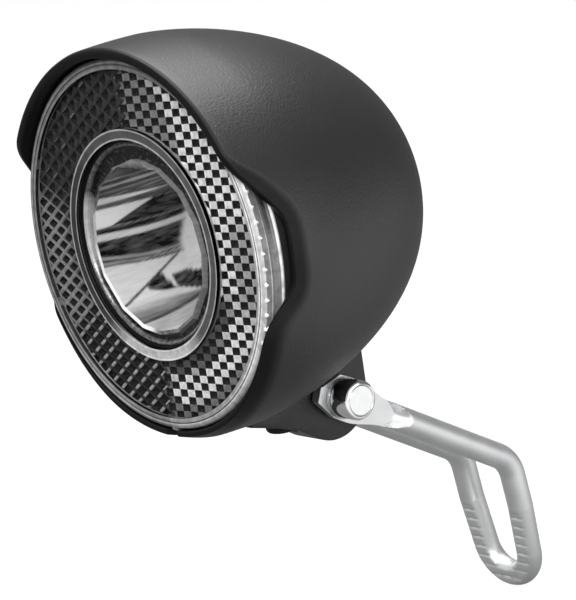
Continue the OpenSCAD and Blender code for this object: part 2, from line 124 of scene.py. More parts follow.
room_front, room_back, room_from, room_to = 0.85, 0.2, -0.45, 0.35
floor_glow, floor_near, floor_far = 0.94, 0.16, 1.0
floor_half, floor_drop, floor_reach = 3000, 0.2, 110
lamp_core = at(0, 25, 0)

world = bpy.data.worlds.new("white_room")
scene.world = world
world.use_nodes = True
tree = world.node_tree
tree.nodes.clear()
way = add_node(tree, "SeparateXYZ", {0: add_node(tree, "TexCoord").outputs["Generated"]})
front = add_node(tree, "MapRange", {"Value": way.outputs["Y"], "From Min": room_from, "From Max": room_to,
                                    "To Min": room_front, "To Max": room_back}, interpolation_type="SMOOTHSTEP")
seen = add_node(tree, "LightPath").outputs["Is Camera Ray"]
level_here = add_node(tree, "Math", {0: front.outputs[0], 1: seen}, operation="MAXIMUM")
sky = add_node(tree, "Background", {"Color": linear("#ffffff"), "Strength": level_here.outputs[0]})
add_node(tree, "OutputWorld", {"Surface": sky.outputs[0]})

# Matt paper: a plain white ground with a faint fibre, which keeps the shadow of the lamp.
sweep, tree = new_material("white_paper_sweep")
place = add_node(tree, "TexCoord").outputs["Object"]
fleck = add_node(tree, "TexNoise", {"Vector": place, "Scale": 1 / (4 * MM), "Detail": 2})
paper = add_node(tree, "Mix", {0: fleck.outputs[0], 6: linear("#565656"), 7: linear("#5c5c5c")}, data_type="RGBA")
matt = add_node(tree, "BsdfDiffuse", {"Color": paper.outputs[2]})
path = add_node(tree, "LightPath")
spot = add_node(tree, "SeparateXYZ", {0: place})
diagonal = add_node(tree, "Math", {0: spot.outputs["X"], 1: spot.outputs["Y"]}, operation="ADD")
back_right = add_node(tree, "Math", {0: spot.outputs["X"], 1: diagonal.outputs[0]}, operation="MINIMUM")
lit_far = add_node(tree, "MapRange", {"Value": back_right.outputs[0], "From Min": 0, "From Max": floor_reach * MM,
                                      "To Min": floor_near, "To Max": floor_far}, interpolation_type="SMOOTHSTEP")
mirrored = add_node(tree, "Math", {0: lit_far.outputs[0], 1: path.outputs["Is Glossy Ray"]}, operation="MULTIPLY")
glow = add_node(tree, "Math", {0: path.outputs["Is Camera Ray"], 1: floor_glow, 2: mirrored.outputs[0]},
                operation="MULTIPLY_ADD")
lit = add_node(tree, "Emission", {"Color": linear("#ffffff"), "Strength": glow.outputs[0]})
both = add_node(tree, "AddShader", {0: matt.outputs[0], 1: lit.outputs[0]})
add_node(tree, "OutputMaterial", {"Surface": both.outputs[0]})
floor_z = cad_box[0][2] - floor_drop * MM
corners = [(x * floor_half * MM, y * floor_half * MM, floor_z) for x, y in ((-1, -1), (1, -1), (1, 1), (-1, 1))]
floor_mesh = bpy.data.meshes.new("floor")
floor_mesh.from_pydata(corners, [], [(0, 1, 2, 3)])
floor_mesh.materials.append(sweep)
floor = bpy.data.objects.new("floor", floor_mesh)
scene.collection.objects.link(floor)

for name, place, size, watts in (("top_panel", at(-60, 120, 520), 0.5, 5.0),
                                 ("front_panel", at(340, -270, 300), 0.4, 3.4),
                                 ("side_panel", at(470, 220, -20), 0.3, 0.5)):
    light = bpy.data.lights.new(name, "AREA")
    light.size = size
    light.energy = watts
    panel = bpy.data.objects.new(name, light)
    scene.collection.objects.link(panel)
    panel.matrix_world = (Matrix.Translation(place)
                          @ (place - lamp_core).to_track_quat("Z", "Y").to_matrix().to_4x4())


# Wire bracket: one 5 mm steel wire bent to a hairpin and zinc plated. Its ends are pressed to flat
# eyes on the lug, and the lower half of its loop is pressed flat and grooved where it is clamped.
def mix(a, b, k):
    return a + (b - a) * k


def smooth(k):
    k = min(1.0, max(0.0, k))
    return k * k * (3 - 2 * k)


def outward_mesh(name, points, faces):
    mesh = bpy.data.meshes.new(name)
    mesh.from_pydata(points, [], faces)
    work = bmesh.new()
    work.from_mesh(mesh)
    bmesh.ops.recalc_face_normals(work, faces=work.faces)
    work.to_mesh(mesh)
    work.free()
    return mesh


def add_piece(name, points, faces, finishes, body, nodes, finish_of=None, tone=None, sharp=32):
    """A new piece with its finishes, its tone for each face and its edges sharp from this angle on."""
    mesh = outward_mesh(name, points, faces)
    for made in finishes:
        mesh.materials.append(made)
    if finish_of:
        mesh.polygons.foreach_set("material_index", finish_of)
    if tone:
        mesh.attributes.new("tone", "FLOAT", "FACE").data.foreach_set("value", tone)
    mesh.polygons.foreach_set("use_smooth", [True] * len(mesh.polygons))
    mesh.set_sharp_from_angle(angle=math.radians(sharp))
    made = bpy.data.objects.new(name, mesh)
    scene.collection.objects.link(made)
    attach(made, body)
    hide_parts(*nodes)
    return made


def lofted(rings):
    count = len(rings[0])
    points = [p for ring in rings for p in ring]
    faces = []
    for i in range(len(rings) - 1):
        a, b = i * count, (i + 1) * count
        faces += [(a + j, a + (j + 1) % count, b + (j + 1) % count, b + j) for j in range(count)]
    faces += [tuple(range(count)), tuple(range((len(rings) - 1) * count, len(rings) * count))]
    return points, faces


pivot = (Vector(frame["joints"][0]["pos_m"]) - lens_middle) / MM
wire_r, wire_x = 2.5, 7.0
arm_drop, leg_lean = math.radians(31.5), math.radians(8)
arm_length, leg_length, bend_r = 45.5, 19.8, 7.0
loop_r, flat_half, flat_length = 6.1, 2.1, 9.9
groove_pitch, groove_depth, groove_half, groove_wrap = 2.0, 0.22, 0.4, 0.88
eye_in, eye_out, eye_half, eye_hole, eye_bevel = 4.3, 6.7, 4.1, 2.6, 0.35
eye_keep, eye_fade, fade_end = 2.5, 9.0, 17.0
eye_power, eye_shrink = 7, 0.88
eye_top, eye_foot = [(-5.2, 0.6), (-2.0, 3.9), (0.5, 4.1)], [(-4.8, -2.7), (-0.6, -4.1), (0.5, -4.1)]
tongue_from, tongue_run, tongue_end, tongue_curve, tongue_rise = 8, 4, 13.6, 0.42, 1.1
press_run = 1.2
round_points, eye_steps, fade_steps, bend_steps, leg_steps, loop_steps = 40, 8, 55, 16, 52, 60

along = Vector((0, math.cos(arm_drop), -math.sin(arm_drop)))
above = Vector((0, math.sin(arm_drop), math.cos(arm_drop)))
down = Vector((0, math.sin(leg_lean), -math.cos(leg_lean)))
behind = Vector((0, math.cos(leg_lean), math.sin(leg_lean)))
across = Vector((1, 0, 0))
corner = pivot + arm_length * along
bend_turn = math.pi / 2 - arm_drop - leg_lean
bend_run = bend_r * math.tan(bend_turn / 2)
loop_taper = math.acos(loop_r / math.hypot(wire_x, flat_length)) - math.atan2(flat_length, wire_x)
taper_run = math.sqrt(wire_x ** 2 + flat_length ** 2 - loop_r ** 2)


def wire_ring(middle, side, thick, shape=None):
    """A round section of the wire, or the form that shape gives each of its points."""
    ring = []
    for j in range(round_points):
        turn = 2 * math.pi * j / round_points
        i, k = wire_r * math.cos(turn), wire_r * math.sin(turn)
        ring.append(shape(middle, side, thick, i, k) if shape else middle + i * side + k * thick)
    return ring


def tongue(u, v):
    """How far the eye's two faces are from the middle, where its flat runs out into the round wire."""
    low = mix(eye_in, wire_x - wire_r, smooth((u - tongue_from) / tongue_run))
    high = eye_out + max(0.0, u - (tongue_end - tongue_curve * v * v)) * tongue_rise
    return low, high


def eye_ring(top, foot, grow=1.0):
    """A section of the eye between a point of its upper edge and one of its lower edge."""
    ring = []
    for j in range(round_points):
        turn = 2 * math.pi * j / round_points
        c, t = math.cos(turn), math.sin(turn)
        u = mix(top[0], foot[0], 0.5)
        k = smooth((u - eye_keep) / eye_fade)
        power = mix(eye_power, 2, k)
        half = wire_r * math.copysign(abs(c) ** (2 / power), c)
        share = 0.5 - 0.5 * grow * math.copysign(abs(t) ** (2 / power), t)
        v = mix(top[1], foot[1], share)
        low, high = tongue(u, v)
        x = min(max(wire_x + half, low), high)
        x = mix((low + high) / 2, x, grow) if grow < 1 else x
        ring.append(pivot + x * across + mix(top[0], foot[0], share) * along + v * above)
    return ring


def pressed(middle, side, thick, i, k):
    """A point of the loop, pressed flat in its lower half, with the grip grooves on its front."""
    point = middle + i * side + k * thick
    length = (point - corner).dot(down)
    flat = mix(wire_r, flat_half, smooth((length - leg_length + flat_length) / press_run))
    depth = max(-flat, min(flat, k))
    if k <= -flat * groove_wrap:
        step = (length - leg_length + flat_length) / groove_pitch
        nearest = max(1, round(step))
        depth += groove_depth * max(0.0, 1 - abs(step - nearest) * groove_pitch / groove_half)
    return middle + i * side + depth * thick


half_path = [[p - eye_bevel * along for p in eye_ring(eye_top[0], eye_foot[0], eye_shrink)]]
for i in range(len(eye_top) - 1):
    for k in range(eye_steps):
        top, foot = ([mix(edge[i][n], edge[i + 1][n], k / eye_steps) for n in (0, 1)]
                     for edge in (eye_top, eye_foot))
        half_path.append(eye_ring(top, foot))
start = pivot + wire_x * across
for i in range(fade_steps + 1):
    u = mix(eye_top[-1][0], fade_end, i / fade_steps)
    half = mix(eye_half, wire_r, smooth((u - eye_keep) / eye_fade))
    half_path.append(eye_ring((u, half), (u, -half)))
half_path.append(wire_ring(start + (arm_length - bend_run) * along, across, above))
hub = start + (arm_length - bend_run) * along - bend_r * above
for i in range(1, bend_steps + 1):
    turn = bend_turn * i / bend_steps
    out = math.cos(turn) * above + math.sin(turn) * along
    half_path.append(wire_ring(hub + bend_r * out, across, out))
begin = corner + wire_x * across + (leg_length - flat_length) * down
half_path.append(wire_ring(begin, across, behind))
slant = math.cos(loop_taper) * down - math.sin(loop_taper) * across
for i in range(1, leg_steps + 1):
    run = taper_run * i / leg_steps
    half_path.append(wire_ring(begin + run * slant, slant.cross(behind), behind, shape=pressed))
for i in range(1, loop_steps + 1):
    turn = mix(loop_taper, math.pi / 2, i / loop_steps)
    out = math.cos(turn) * across + math.sin(turn) * down
    half_path.append(wire_ring(corner + leg_length * down + loop_r * out, out, behind, shape=pressed))
other_half = [[Vector((-p.x, p.y, p.z)) for p in ring] for ring in reversed(half_path[:-1])]
wire = lofted(half_path + other_half)


def turned(outline, place_of, steps=96, closed=True):
    """The outline of radii and heights turned about an axis, where place_of puts each of its points."""
    points, faces, rings = [], [], []
    for r, h in outline:
        rings.append(len(points))
        turns = steps if r > 0 else 1
        points += [place_of(r, h, 2 * math.pi * j / steps) for j in range(turns)]
    pairs = list(zip(range(len(outline)), range(1, len(outline)))) + ([(len(outline) - 1, 0)] if closed else [])
    for i, k in pairs:
        for j in range(steps):
            n = (j + 1) % steps
            a = [rings[i] + j, rings[i] + n] if outline[i][0] > 0 else [rings[i]]
            b = [rings[k] + n, rings[k] + j] if outline[k][0] > 0 else [rings[k]]
            if len(a + b) > 2:
                faces.append(tuple(a + b))
    return points, faces


def round_bolt(r, h, a):
    return at(h, pivot.y + r * math.cos(a), pivot.z + r * math.sin(a))


def drilled(shape, *drills):
    objects = []
    for points, faces in (shape, *drills):
        objects.append(bpy.data.objects.new("blank", outward_mesh("blank", points, faces)))
        scene.collection.objects.link(objects[-1])
    for drill in objects[1:]:
        cut = objects[0].modifiers.new("hole", "BOOLEAN")
        cut.operation, cut.solver, cut.object = "DIFFERENCE", "EXACT", drill
    result = objects[0].evaluated_get(bpy.context.evaluated_depsgraph_get()).to_mesh()
    made = [v.co.copy() for v in result.vertices], [tuple(p.vertices) for p in result.polygons]
    for used in objects:
        bpy.data.objects.remove(used)
    return made


drill_end = 2 * wire_x
eye_drill = turned([(0, -drill_end), (eye_hole, -drill_end), (eye_hole, drill_end), (0, drill_end)], round_bolt,
                   closed=False)
bracket_points, bracket_faces = drilled(([at(*p) for p in wire[0]], wire[1]), eye_drill)

# Zinc plate on drawn steel: a satin grey metal with a soft highlight and faint cloudy patches.
zinc_wire, tree = new_material("zinc_plated_drawn_steel")
place = add_node(tree, "TexCoord").outputs["Object"]
cloud = add_node(tree, "TexNoise", {"Vector": place, "Scale": 1 / (5 * MM), "Detail": 3})
shade = add_node(tree, "Mix", {0: cloud.outputs[0], 6: linear("#d4d5d6"), 7: linear("#e2e3e3")}, data_type="RGBA")
dull = add_node(tree, "MapRange", {"Value": cloud.outputs[0], "To Min": 0.44, "To Max": 0.54})
scratch = add_node(tree, "TexNoise", {"Vector": place, "Scale": 1 / (0.35 * MM), "Detail": 2})
relief = add_node(tree, "Bump", {"Height": scratch.outputs[0], "Strength": 0.12, "Distance": 0.05 * MM})
shader = add_node(tree, "BsdfPrincipled", {"Base Color": shade.outputs[2], "Metallic": 1.0,
                                           "Roughness": dull.outputs[0], "Normal": relief.outputs[0]})
add_node(tree, "OutputMaterial", {"Surface": shader.outputs[0]})
add_piece("bent_wire_bracket", bracket_points, bracket_faces, [zinc_wire],
          "bracket", ["wire_bracket"])


# Pivot bolt: a 5 mm bolt with a plain round head and one turned ring on its face, bright plated. It
# passes through both eyes and the lug, and its head is on the side that the camera sees.
head_x, head_h, head_r, shank_r = 7.5, 4.5, 3.75, 2.5
head_top = head_x + head_h
ring_r = 2.87
head_face = ((ring_r - 0.17, 0.0), (ring_r - 0.1, 0.07), (ring_r, 0.1), (ring_r + 0.1, 0.07), (ring_r + 0.18, 0.0),
             (head_r - 0.4, 0.05), (head_r - 0.15, 0.2), (head_r, 0.5))
nut_h, bolt_end, thread_pitch, thread_depth = 4.0, 1.0, 0.8, 0.35
nut_low = -head_x - nut_h
thread_low, thread_high = nut_low - bolt_end, nut_low + 0.4
bolt_outline = [(0, head_top)] + [(r, head_top - sunk) for r, sunk in head_face]
bolt_outline += [(head_r, head_x + 0.25), (head_r - 0.2, head_x), (shank_r, head_x), (shank_r, thread_high)]
for i in range(int((thread_high - thread_low) / thread_pitch)):
    bolt_outline += [(shank_r - thread_depth, thread_high - (i + 0.5) * thread_pitch),
                     (shank_r, thread_high - (i + 1) * thread_pitch)]
bolt_outline += [(shank_r - 0.4, thread_low), (0, thread_low)]
bolt_points, bolt_faces = turned(bolt_outline, round_bolt, closed=False)


def mottled(name, patch, shades, sockets, dull=None, detail=2):
    """A finish that drifts between two shades, and between two roughnesses, in patches of so many millimetres."""
    made, tree = new_material(name)
    place = add_node(tree, "TexCoord").outputs["Object"]
    drift = add_node(tree, "TexNoise", {"Vector": place, "Scale": 1 / (patch * MM), "Detail": detail})
    dark, pale = (linear(colour) for colour in shades)
    shade = add_node(tree, "Mix", {0: drift.outputs[0], 6: dark, 7: pale}, data_type="RGBA")
    sockets = {"Base Color": shade.outputs[2], **sockets}
    if dull:
        rough = add_node(tree, "MapRange", {"Value": drift.outputs[0], "To Min": dull[0], "To Max": dull[1]})
        sockets["Roughness"] = rough.outputs[0]
    shader = add_node(tree, "BsdfPrincipled", sockets)
    add_node(tree, "OutputMaterial", {"Surface": shader.outputs[0]})
    return made


# Bright nickel plate: a mirror metal with a faint haze, which breaks its reflections a little.
bright_nickel = mottled("bright_nickel_plated_steel", 1.5, ("#dcdddd", "#ececec"), {"Metallic": 1.0},
                        dull=(0.08, 0.16))
add_piece("round_head_bolt", bolt_points, bolt_faces, [bright_nickel], "bracket", ["pivot_bolt"])


# Pivot washers and nut: two plain stamped washers under the head and the nut, and a hexagon nut on
# the hidden side. All three are zinc plated steel, with the rounded edges that stamping leaves.
def joined(*parts):
    points, faces = [], []
    for more_points, more_faces in parts:
        faces += [tuple(i + len(points) for i in f) for f in more_faces]
        points += more_points
    return points, faces


washer_t, washer_r, washer_hole, washer_edge = 0.8, 3.95, 2.6, 0.12
washers = [turned([(washer_hole, h0), (washer_r - washer_edge, h0), (washer_r, h0 + washer_edge),
                   (washer_r, h0 + washer_t - washer_edge), (washer_r - washer_edge, h0 + washer_t),
                   (washer_hole, h0 + washer_t)], round_bolt) for h0 in (head_x - washer_t, -head_x)]
washer_points, washer_faces = joined(*washers)
nut_half, nut_bore = 4.0, shank_r + 0.02


def hexagon(r, h, a):
    corner_turn = (a + math.pi / 6) % (math.pi / 3) - math.pi / 6
    return round_bolt(min(r, nut_half / math.cos(corner_turn)) if r > nut_bore else r, h, a)


nut_corner = nut_half / math.cos(math.pi / 6)
nut_edge = [(nut_bore, 0), (nut_half * 0.97, 0), (nut_half * 1.03, 0.2), (nut_corner, 0.6)]
nut_outline = [(r, nut_low + h) for r, h in nut_edge] + [(r, nut_low + nut_h - h) for r, h in reversed(nut_edge)]
nut_points, nut_faces = turned(nut_outline, hexagon)

# Zinc plate on pressed steel: a grey metal with cloudy patches, some brighter and some duller.
zinc_steel = mottled("zinc_plated_pressed_steel", 2, ("#b2b4b6", "#d0d1d3"), {"Metallic": 1.0},
                     dull=(0.2, 0.34), detail=3)
add_piece("plain_washers", washer_points, washer_faces, [zinc_steel], "bracket", ["pivot_washers"])
add_piece("hexagon_nut", nut_points, nut_faces, [zinc_steel], "bracket", ["pivot_nut"])

# Hood: the housing of the lamp, one black ABS moulding with a leather grain on its skin and polished
# edges. It has the visor, a scooped opening at each side, the lower lip, the lug and two board posts.
hood_r, hood_swell, hood_wall = 36.6, 0.5, 1.8
widest_y, visor_y = 9.3, -2.4
hood_length = (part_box("housing")[1].y - lens_low.y) / MM
flank_power, back_power = 1.6, 2.8
mouth_r, ledge_r, ledge_y, ledge_back = 34.3, 30.8, 6.3, 8.3
edge_r = 35.5
# The bends of the mouth's edge from the top down: height, change of slope and half the bend's length.
edge_bends = ((16.7, 0.755, 2.3), (6.1, -0.755, 2.3), (-6.8, -0.85, 2.4), (-13.4, 0.85, 3.0))
scoop_depth, scoop_run, scoop_top, scoop_fade = 1.1, 2.9, 19, 7
lip_depth, lip_run, lip_from, lip_fade = 0.9, 3.5, 116, 40
lip_in, lip_in_from, lip_in_run = 0.8, 100, 12
visor_depth, visor_run = 0.3, 0.8
rim_round, flare_power = 0.35, 1.25
notch_half, notch_y = 1.4, 2.6
hood_columns = 480


def edge_line(turn):
    """The front edge at this turn from the top: its distance behind the lens's face and its slope."""
    z = edge_r * math.cos(turn)
    if z < 0 and abs(edge_r * math.sin(turn)) < notch_half:
        return notch_y, 0.0
    y, slope = visor_y, 0.0
    for bend_z, steer, soft in edge_bends:
        bent = min(max(bend_z - z + soft, 0.0), 2 * soft)
        y += steer * (bent * bent / (4 * soft) + max(0.0, bend_z - z - soft))
        slope += steer * bent / (2 * soft)
    return y, slope


def skin_r(y, inset=0.0):
    """The radius of the hood's skin, or of a surface inset from it, this far behind the lens's face."""
    if y < widest_y:
        return hood_r - inset - hood_swell * ((widest_y - y) / (widest_y - visor_y)) ** 2
    share = (y - widest_y) / (hood_length - inset - widest_y)
    return (hood_r - inset) * max(0.0, 1 - share ** flank_power) ** (1 / back_power)


def back_curve(inset, steps):
    rows = []
    for i in range(1, steps):
        a = math.pi / 2 * i / steps
        rows.append(((hood_r - inset) * math.cos(a) ** (2 / back_power),
                     widest_y + (hood_length - inset - widest_y) * math.sin(a) ** (2 / flank_power)))
    return rows


skin_rows, front_rows, flare_rows, corner_rows, inside_rows = 44, 6, 14, 4, 24


def hood_column(turn):
    """Radii and depths of one column of the hood: from the back over the skin and the edge to the inside."""
    front, slope = edge_line(turn)
    z = edge_r * math.cos(turn)
    fall = math.degrees(min(turn, 2 * math.pi - turn))
    side = smooth((scoop_top - z) / scoop_fade) if z > 0 else 1 - smooth((fall - lip_from) / lip_fade)
    rest_depth, rest_run = (visor_depth, visor_run) if z > 0 else (lip_depth, lip_run)
    depth, run = mix(rest_depth, scoop_depth, side), mix(rest_run, scoop_run * math.hypot(1, slope), side)
    depth += lip_in * smooth((fall - lip_in_from) / lip_in_run) * (1 - smooth((fall - lip_from) / lip_fade))
    rows = list(reversed(back_curve(0, skin_rows)))
    for i in range(front_rows + 1):
        y = mix(widest_y, front + run, i / front_rows)
        rows.append((skin_r(y), y))
    turn_r = min(rim_round, (skin_r(front) - depth - mouth_r) / 2.2)
    for i in range(1, flare_rows + 1):
        y = mix(front + run, front + turn_r, i / flare_rows)
        rows.append((skin_r(y) - depth * (1 - (y - front) / run) ** flare_power, y))
    edge = rows[-1][0]
    for i in range(1, corner_rows + 1):
        a = math.pi / 2 * i / corner_rows
        rows.append((edge - turn_r * (1 - math.cos(a)), front + turn_r * (1 - math.sin(a))))
    for i in range(corner_rows + 1):
        a = math.pi / 2 * i / corner_rows
        rows.append((mouth_r + turn_r * (1 - math.sin(a)), front + turn_r * (1 - math.cos(a))))
    rows += [(mouth_r, ledge_y), (ledge_r, ledge_y), (ledge_r, ledge_back), (hood_r - hood_wall, ledge_back),
             (hood_r - hood_wall, widest_y)]
    return rows + back_curve(hood_wall, inside_rows)


columns = [hood_column(2 * math.pi * (j + 0.5) / hood_columns) for j in range(hood_columns)]
row_count = len(columns[0])
hood_points = [at(0, hood_length, 0), at(0, hood_length - hood_wall, 0)]
for j, column in enumerate(columns):
    turn = 2 * math.pi * (j + 0.5) / hood_columns
    hood_points += [at(r * math.sin(turn), y, r * math.cos(turn)) for r, y in column]
# hood_tone is painted shade for each face: 1 on the skin, falling across the flare towards the mouth.
hood_faces, hood_finish, hood_tone = [], [], []
flare_from = skin_rows - 1 + front_rows
first_polished = flare_from + flare_rows
for j in range(hood_columns):
    a, b = 2 + j * row_count, 2 + (j + 1) % hood_columns * row_count
    hood_faces += [(0, a, b), (1, b + row_count - 1, a + row_count - 1)]
    hood_finish += [0, 1]
    hood_tone += [1.0, 1.0]
    for i in range(row_count - 1):
        hood_faces.append((a + i, a + i + 1, b + i + 1, b + i))
        hood_finish.append(1 if i >= first_polished else 0)
        hood_tone.append(1 - smooth((i - flare_from + 2) / (flare_rows * 0.7)))

lug_half, lug_r, lug_bevel, lug_soft = 4.2, 8.4, 0.4, 0.12
chin = math.radians(33)
chin_point = (-lug_r * math.sin(chin), -lug_r * math.cos(chin))
chin_run, nose_length, nose_low, nose_flat, nose_drop = 5.0, 20.0, 0.45, 6.0, 1.8
inlet_y = pivot.y - 10.0
round_steps, root_steps = 24, 30
lug_edge = []
for i in range(round_steps + 1):
    a = mix(-chin, math.pi / 2, i / round_steps)
    lug_edge.append((lug_r * math.sin(a), -lug_r * math.cos(a)))
for i in range(root_steps + 1):
    x = mix(lug_r, -nose_length, i / root_steps)
    lug_edge.append((x, -skin_r(pivot.y + x) + hood_wall / 2 - pivot.z))
lug_edge += [(-nose_length, -nose_low), (-nose_length + nose_flat, -nose_low - nose_drop),
             (chin_point[0] - chin_run * math.cos(chin), chin_point[1] + chin_run * math.sin(chin))]


def lug_ring(x, inset):
    """The lug's outline, drawn in by inset, on the plane at x."""
    ring = []
    count = len(lug_edge)
    for i in range(count):
        here, last, after = (Vector(lug_edge[k % count]) for k in (i, i - 1, i + 1))
        way = ((here - last).normalized() + (after - here).normalized()).normalized()
        here = here + inset * Vector((-way.y, way.x))
        ring.append(at(x, pivot.y + here.x, pivot.z + here.y))
    return ring


lug = lofted([lug_ring(-lug_half, lug_bevel), lug_ring(-lug_half + lug_soft, lug_soft),
              lug_ring(-lug_half + lug_bevel, 0), lug_ring(lug_half - lug_bevel, 0),
              lug_ring(lug_half - lug_soft, lug_soft), lug_ring(lug_half, lug_bevel)])


def upright_at_inlet(r, h, a):
    return at(r * math.cos(a), inlet_y + r * math.sin(a), h)


drill_fit, bush_r = 0.05, 3.0
drills = []
for r, low, high, place_of in ((shank_r, -6, 6, round_bolt), (bush_r, -60, -30, upright_at_inlet)):
    drills.append(turned([(0, low), (r + drill_fit, low), (r + drill_fit, high), (0, high)], place_of, closed=False))
lug = drilled(lug, *drills)

post_x, post_r, post_y, post_hole, post_hole_depth = 20.8, 3.0, 39.25, 1.02, 6.0
posts = []
for s in (-1, 1):
    post_end = hood_length - hood_wall / 2
    while skin_r(post_end, hood_wall / 2) < post_x + post_r:
        post_end -= 0.1
    posts.append(turned([(post_hole, post_y), (post_r, post_y), (post_r, post_end), (0, post_end),
                         (0, post_y + post_hole_depth), (post_hole, post_y + post_hole_depth)],
                        lambda r, h, a, s=s: at(s * post_x + r * math.cos(a), h, r * math.sin(a)), 32))
lug_faces, post_faces = len(lug[1]), sum(len(post[1]) for post in posts)
hood_points, hood_faces = joined((hood_points, hood_faces), lug, *posts)
hood_finish += [0] * lug_faces + [1] * post_faces
hood_tone += [1.0] * (lug_faces + post_faces)

# Grained ABS: a matt charcoal skin, with fine wrinkled cells from the mould that catch soft light. The flare round
# the mouth has painted shade: its colour darkens towards the mouth by the tone, and its gloss is turned down with it.
grained_abs, tree = new_material("leather_grained_black_abs")
place = add_node(tree, "TexCoord").outputs["Object"]
drift = add_node(tree, "TexNoise", {"Vector": place, "Scale": 1 / (1.2 * MM), "Detail": 2})
bent = add_node(tree, "VectorMath", {0: drift.outputs["Color"], "Scale": 0.5 * MM}, operation="SCALE")
moved = add_node(tree, "VectorMath", {0: place, 1: bent.outputs[0]})
cells = add_node(tree, "TexVoronoi", {"Vector": moved.outputs[0], "Scale": 1 / (0.42 * MM)}, feature="SMOOTH_F1")
wrinkle = add_node(tree, "TexNoise", {"Vector": moved.outputs[0], "Scale": 1 / (0.3 * MM), "Detail": 2})
height = add_node(tree, "Math", {0: cells.outputs["Distance"], 1: wrinkle.outputs[0]}, operation="ADD")
relief = add_node(tree, "Bump", {"Height": height.outputs[0], "Strength": 0.6, "Distance": 0.06 * MM})
patch = add_node(tree, "TexNoise", {"Vector": place, "Scale": 1 / (9 * MM), "Detail": 2})
skin = add_node(tree, "Mix", {0: patch.outputs[0], 6: linear("#171718"), 7: linear("#1d1d1e")}, data_type="RGBA")
# Painted shade: where the tone falls, the skin's colour goes towards #0c0c0c.
tone = add_node(tree, "Attribute", attribute_name="tone")
shade = add_node(tree, "Mix", {0: tone.outputs["Fac"], 6: linear("#0c0c0c"), 7: skin.outputs[2]}, data_type="RGBA")
dull = add_node(tree, "MapRange", {"Value": wrinkle.outputs[0], "To Min": 0.37, "To Max": 0.5})
gleam = add_node(tree, "MapRange", {"Value": tone.outputs["Fac"], "To Min": 0.2, "To Max": 0.5})
shader = add_node(tree, "BsdfPrincipled", {"Base Color": shade.outputs[2], "Roughness": dull.outputs[0], "IOR": 1.5,
                                           "Specular IOR Level": gleam.outputs[0], "Normal": relief.outputs[0]})
add_node(tree, "OutputMaterial", {"Surface": shader.outputs[0]})

# Polished ABS: the same plastic where the mould is smooth, deep black with a soft gloss.
polished_abs = mottled("polished_black_abs", 3, ("#0b0b0b", "#111112"), {"IOR": 1.5, "Specular IOR Level": 0.12},
                       dull=(0.3, 0.4))
add_piece("visored_hood", hood_points, hood_faces, [grained_abs, polished_abs], "lamp", ["housing"],
          finish_of=hood_finish, tone=hood_tone, sharp=30)

# Cable grommet: a soft rubber bush pressed up through the nose of the lug, with a brim inside the
# hood, a rounded nose below and an open hole for the cable.
bush_box = [(corner.z - lens_middle.z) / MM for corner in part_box("cable_grommet")]
brim_high, brim_low = bush_box[1], bush_box[1] - 1.2
bush_low = bush_box[0] + 0.6
bush_hole, brim_r, bush_round, bush_edge = 1.5, 3.8, 0.9, 0.3
bush_outline = [(bush_hole, brim_high), (brim_r - bush_edge, brim_high), (brim_r, brim_high - bush_edge),
                (brim_r, brim_low + 0.2), (brim_r - 0.2, brim_low), (bush_r, brim_low)]
for i in range(7):
    a = math.pi / 2 * i / 6
    bush_outline.append((bush_r - bush_round * (1 - math.cos(a)), bush_low + bush_round * (1 - math.sin(a))))
bush_outline += [(bush_hole + bush_edge, bush_low), (bush_hole, bush_low + bush_edge)]
bush_points, bush_faces = turned(bush_outline, upright_at_inlet, 64)

# Moulded rubber: a dull black with a faint grey bloom and a slightly uneven skin.
bush_rubber, tree = new_material("moulded_black_rubber")
place = add_node(tree, "TexCoord").outputs["Object"]
bloom = add_node(tree, "TexNoise", {"Vector": place, "Scale": 1 / (0.8 * MM), "Detail": 3})
shade = add_node(tree, "Mix", {0: bloom.outputs[0], 6: linear("#121212"), 7: linear("#1c1c1c")}, data_type="RGBA")
relief = add_node(tree, "Bump", {"Height": bloom.outputs[0], "Strength": 0.15, "Distance": 0.05 * MM})
shader = add_node(tree, "BsdfPrincipled", {"Base Color": shade.outputs[2], "Roughness": 0.75, "IOR": 1.52,
                                           "Specular IOR Level": 0.3, "Normal": relief.outputs[0]})
add_node(tree, "OutputMaterial", {"Surface": shader.outputs[0]})
add_piece("cable_bush", bush_points, bush_faces, [bush_rubber], "lamp", ["cable_grommet"])


# Driver board: a round glass-fibre board behind the bowl, with a green solder mask over copper.
# Two screws hold it to the posts of the hood. The mask gives it an even, half-glossy green.
def dress(node, material):
    slots = frame["nodes"][node].data.materials
    slots.clear()
    slots.append(material)


dress("driver_board",
      mottled("green_solder_mask_board", 1.6, ("#1c4d2b", "#2c6a3c"), {"Roughness": 0.35, "IOR": 1.5}))

# Small screws: self-tapping steel screws for the driver board, the heat sink and the bowl's flange.
# They are zinc plated, a grey metal with small cloudy patches.
screw_zinc = mottled("zinc_plated_screw_steel", 0.9, ("#a2a4a7", "#c4c6c8"), {"Metallic": 1.0}, dull=(0.25, 0.4))
for node in ("board_screws", "heat_sink_screws", "reflector_screws"):
    dress(node, screw_zinc)

# Storage capacitor: an aluminium can on the back of the driver board, soldered by its leads.
# Its shrunk vinyl sleeve gives it a glossy blue that is paler where it is stretched.
dress("storage_capacitor",
      mottled("shrunk_vinyl_sleeve", 1.2, ("#1b2f70", "#28429a"), {"Roughness": 0.3, "IOR": 1.53}))

# Board components: a choke, a regulator and four diodes, soldered to the driver board.
# All are moulded in black resin, whose fine filler gives a dull, speckled charcoal.
dress("board_components",
      mottled("moulded_component_resin", 0.3, ("#161617", "#242425"), {"Roughness": 0.6, "IOR": 1.55}))

# Lamp leads: two stiff wires between the driver board and the lamp board, soldered at both ends.
# Their vinyl sleeves give a plain brick red, rubbed paler in places.
dress("lamp_leads", mottled("red_vinyl_wire_sleeve", 1.0, ("#9c3a26", "#b84a33"), {"Roughness": 0.45, "IOR": 1.53}))

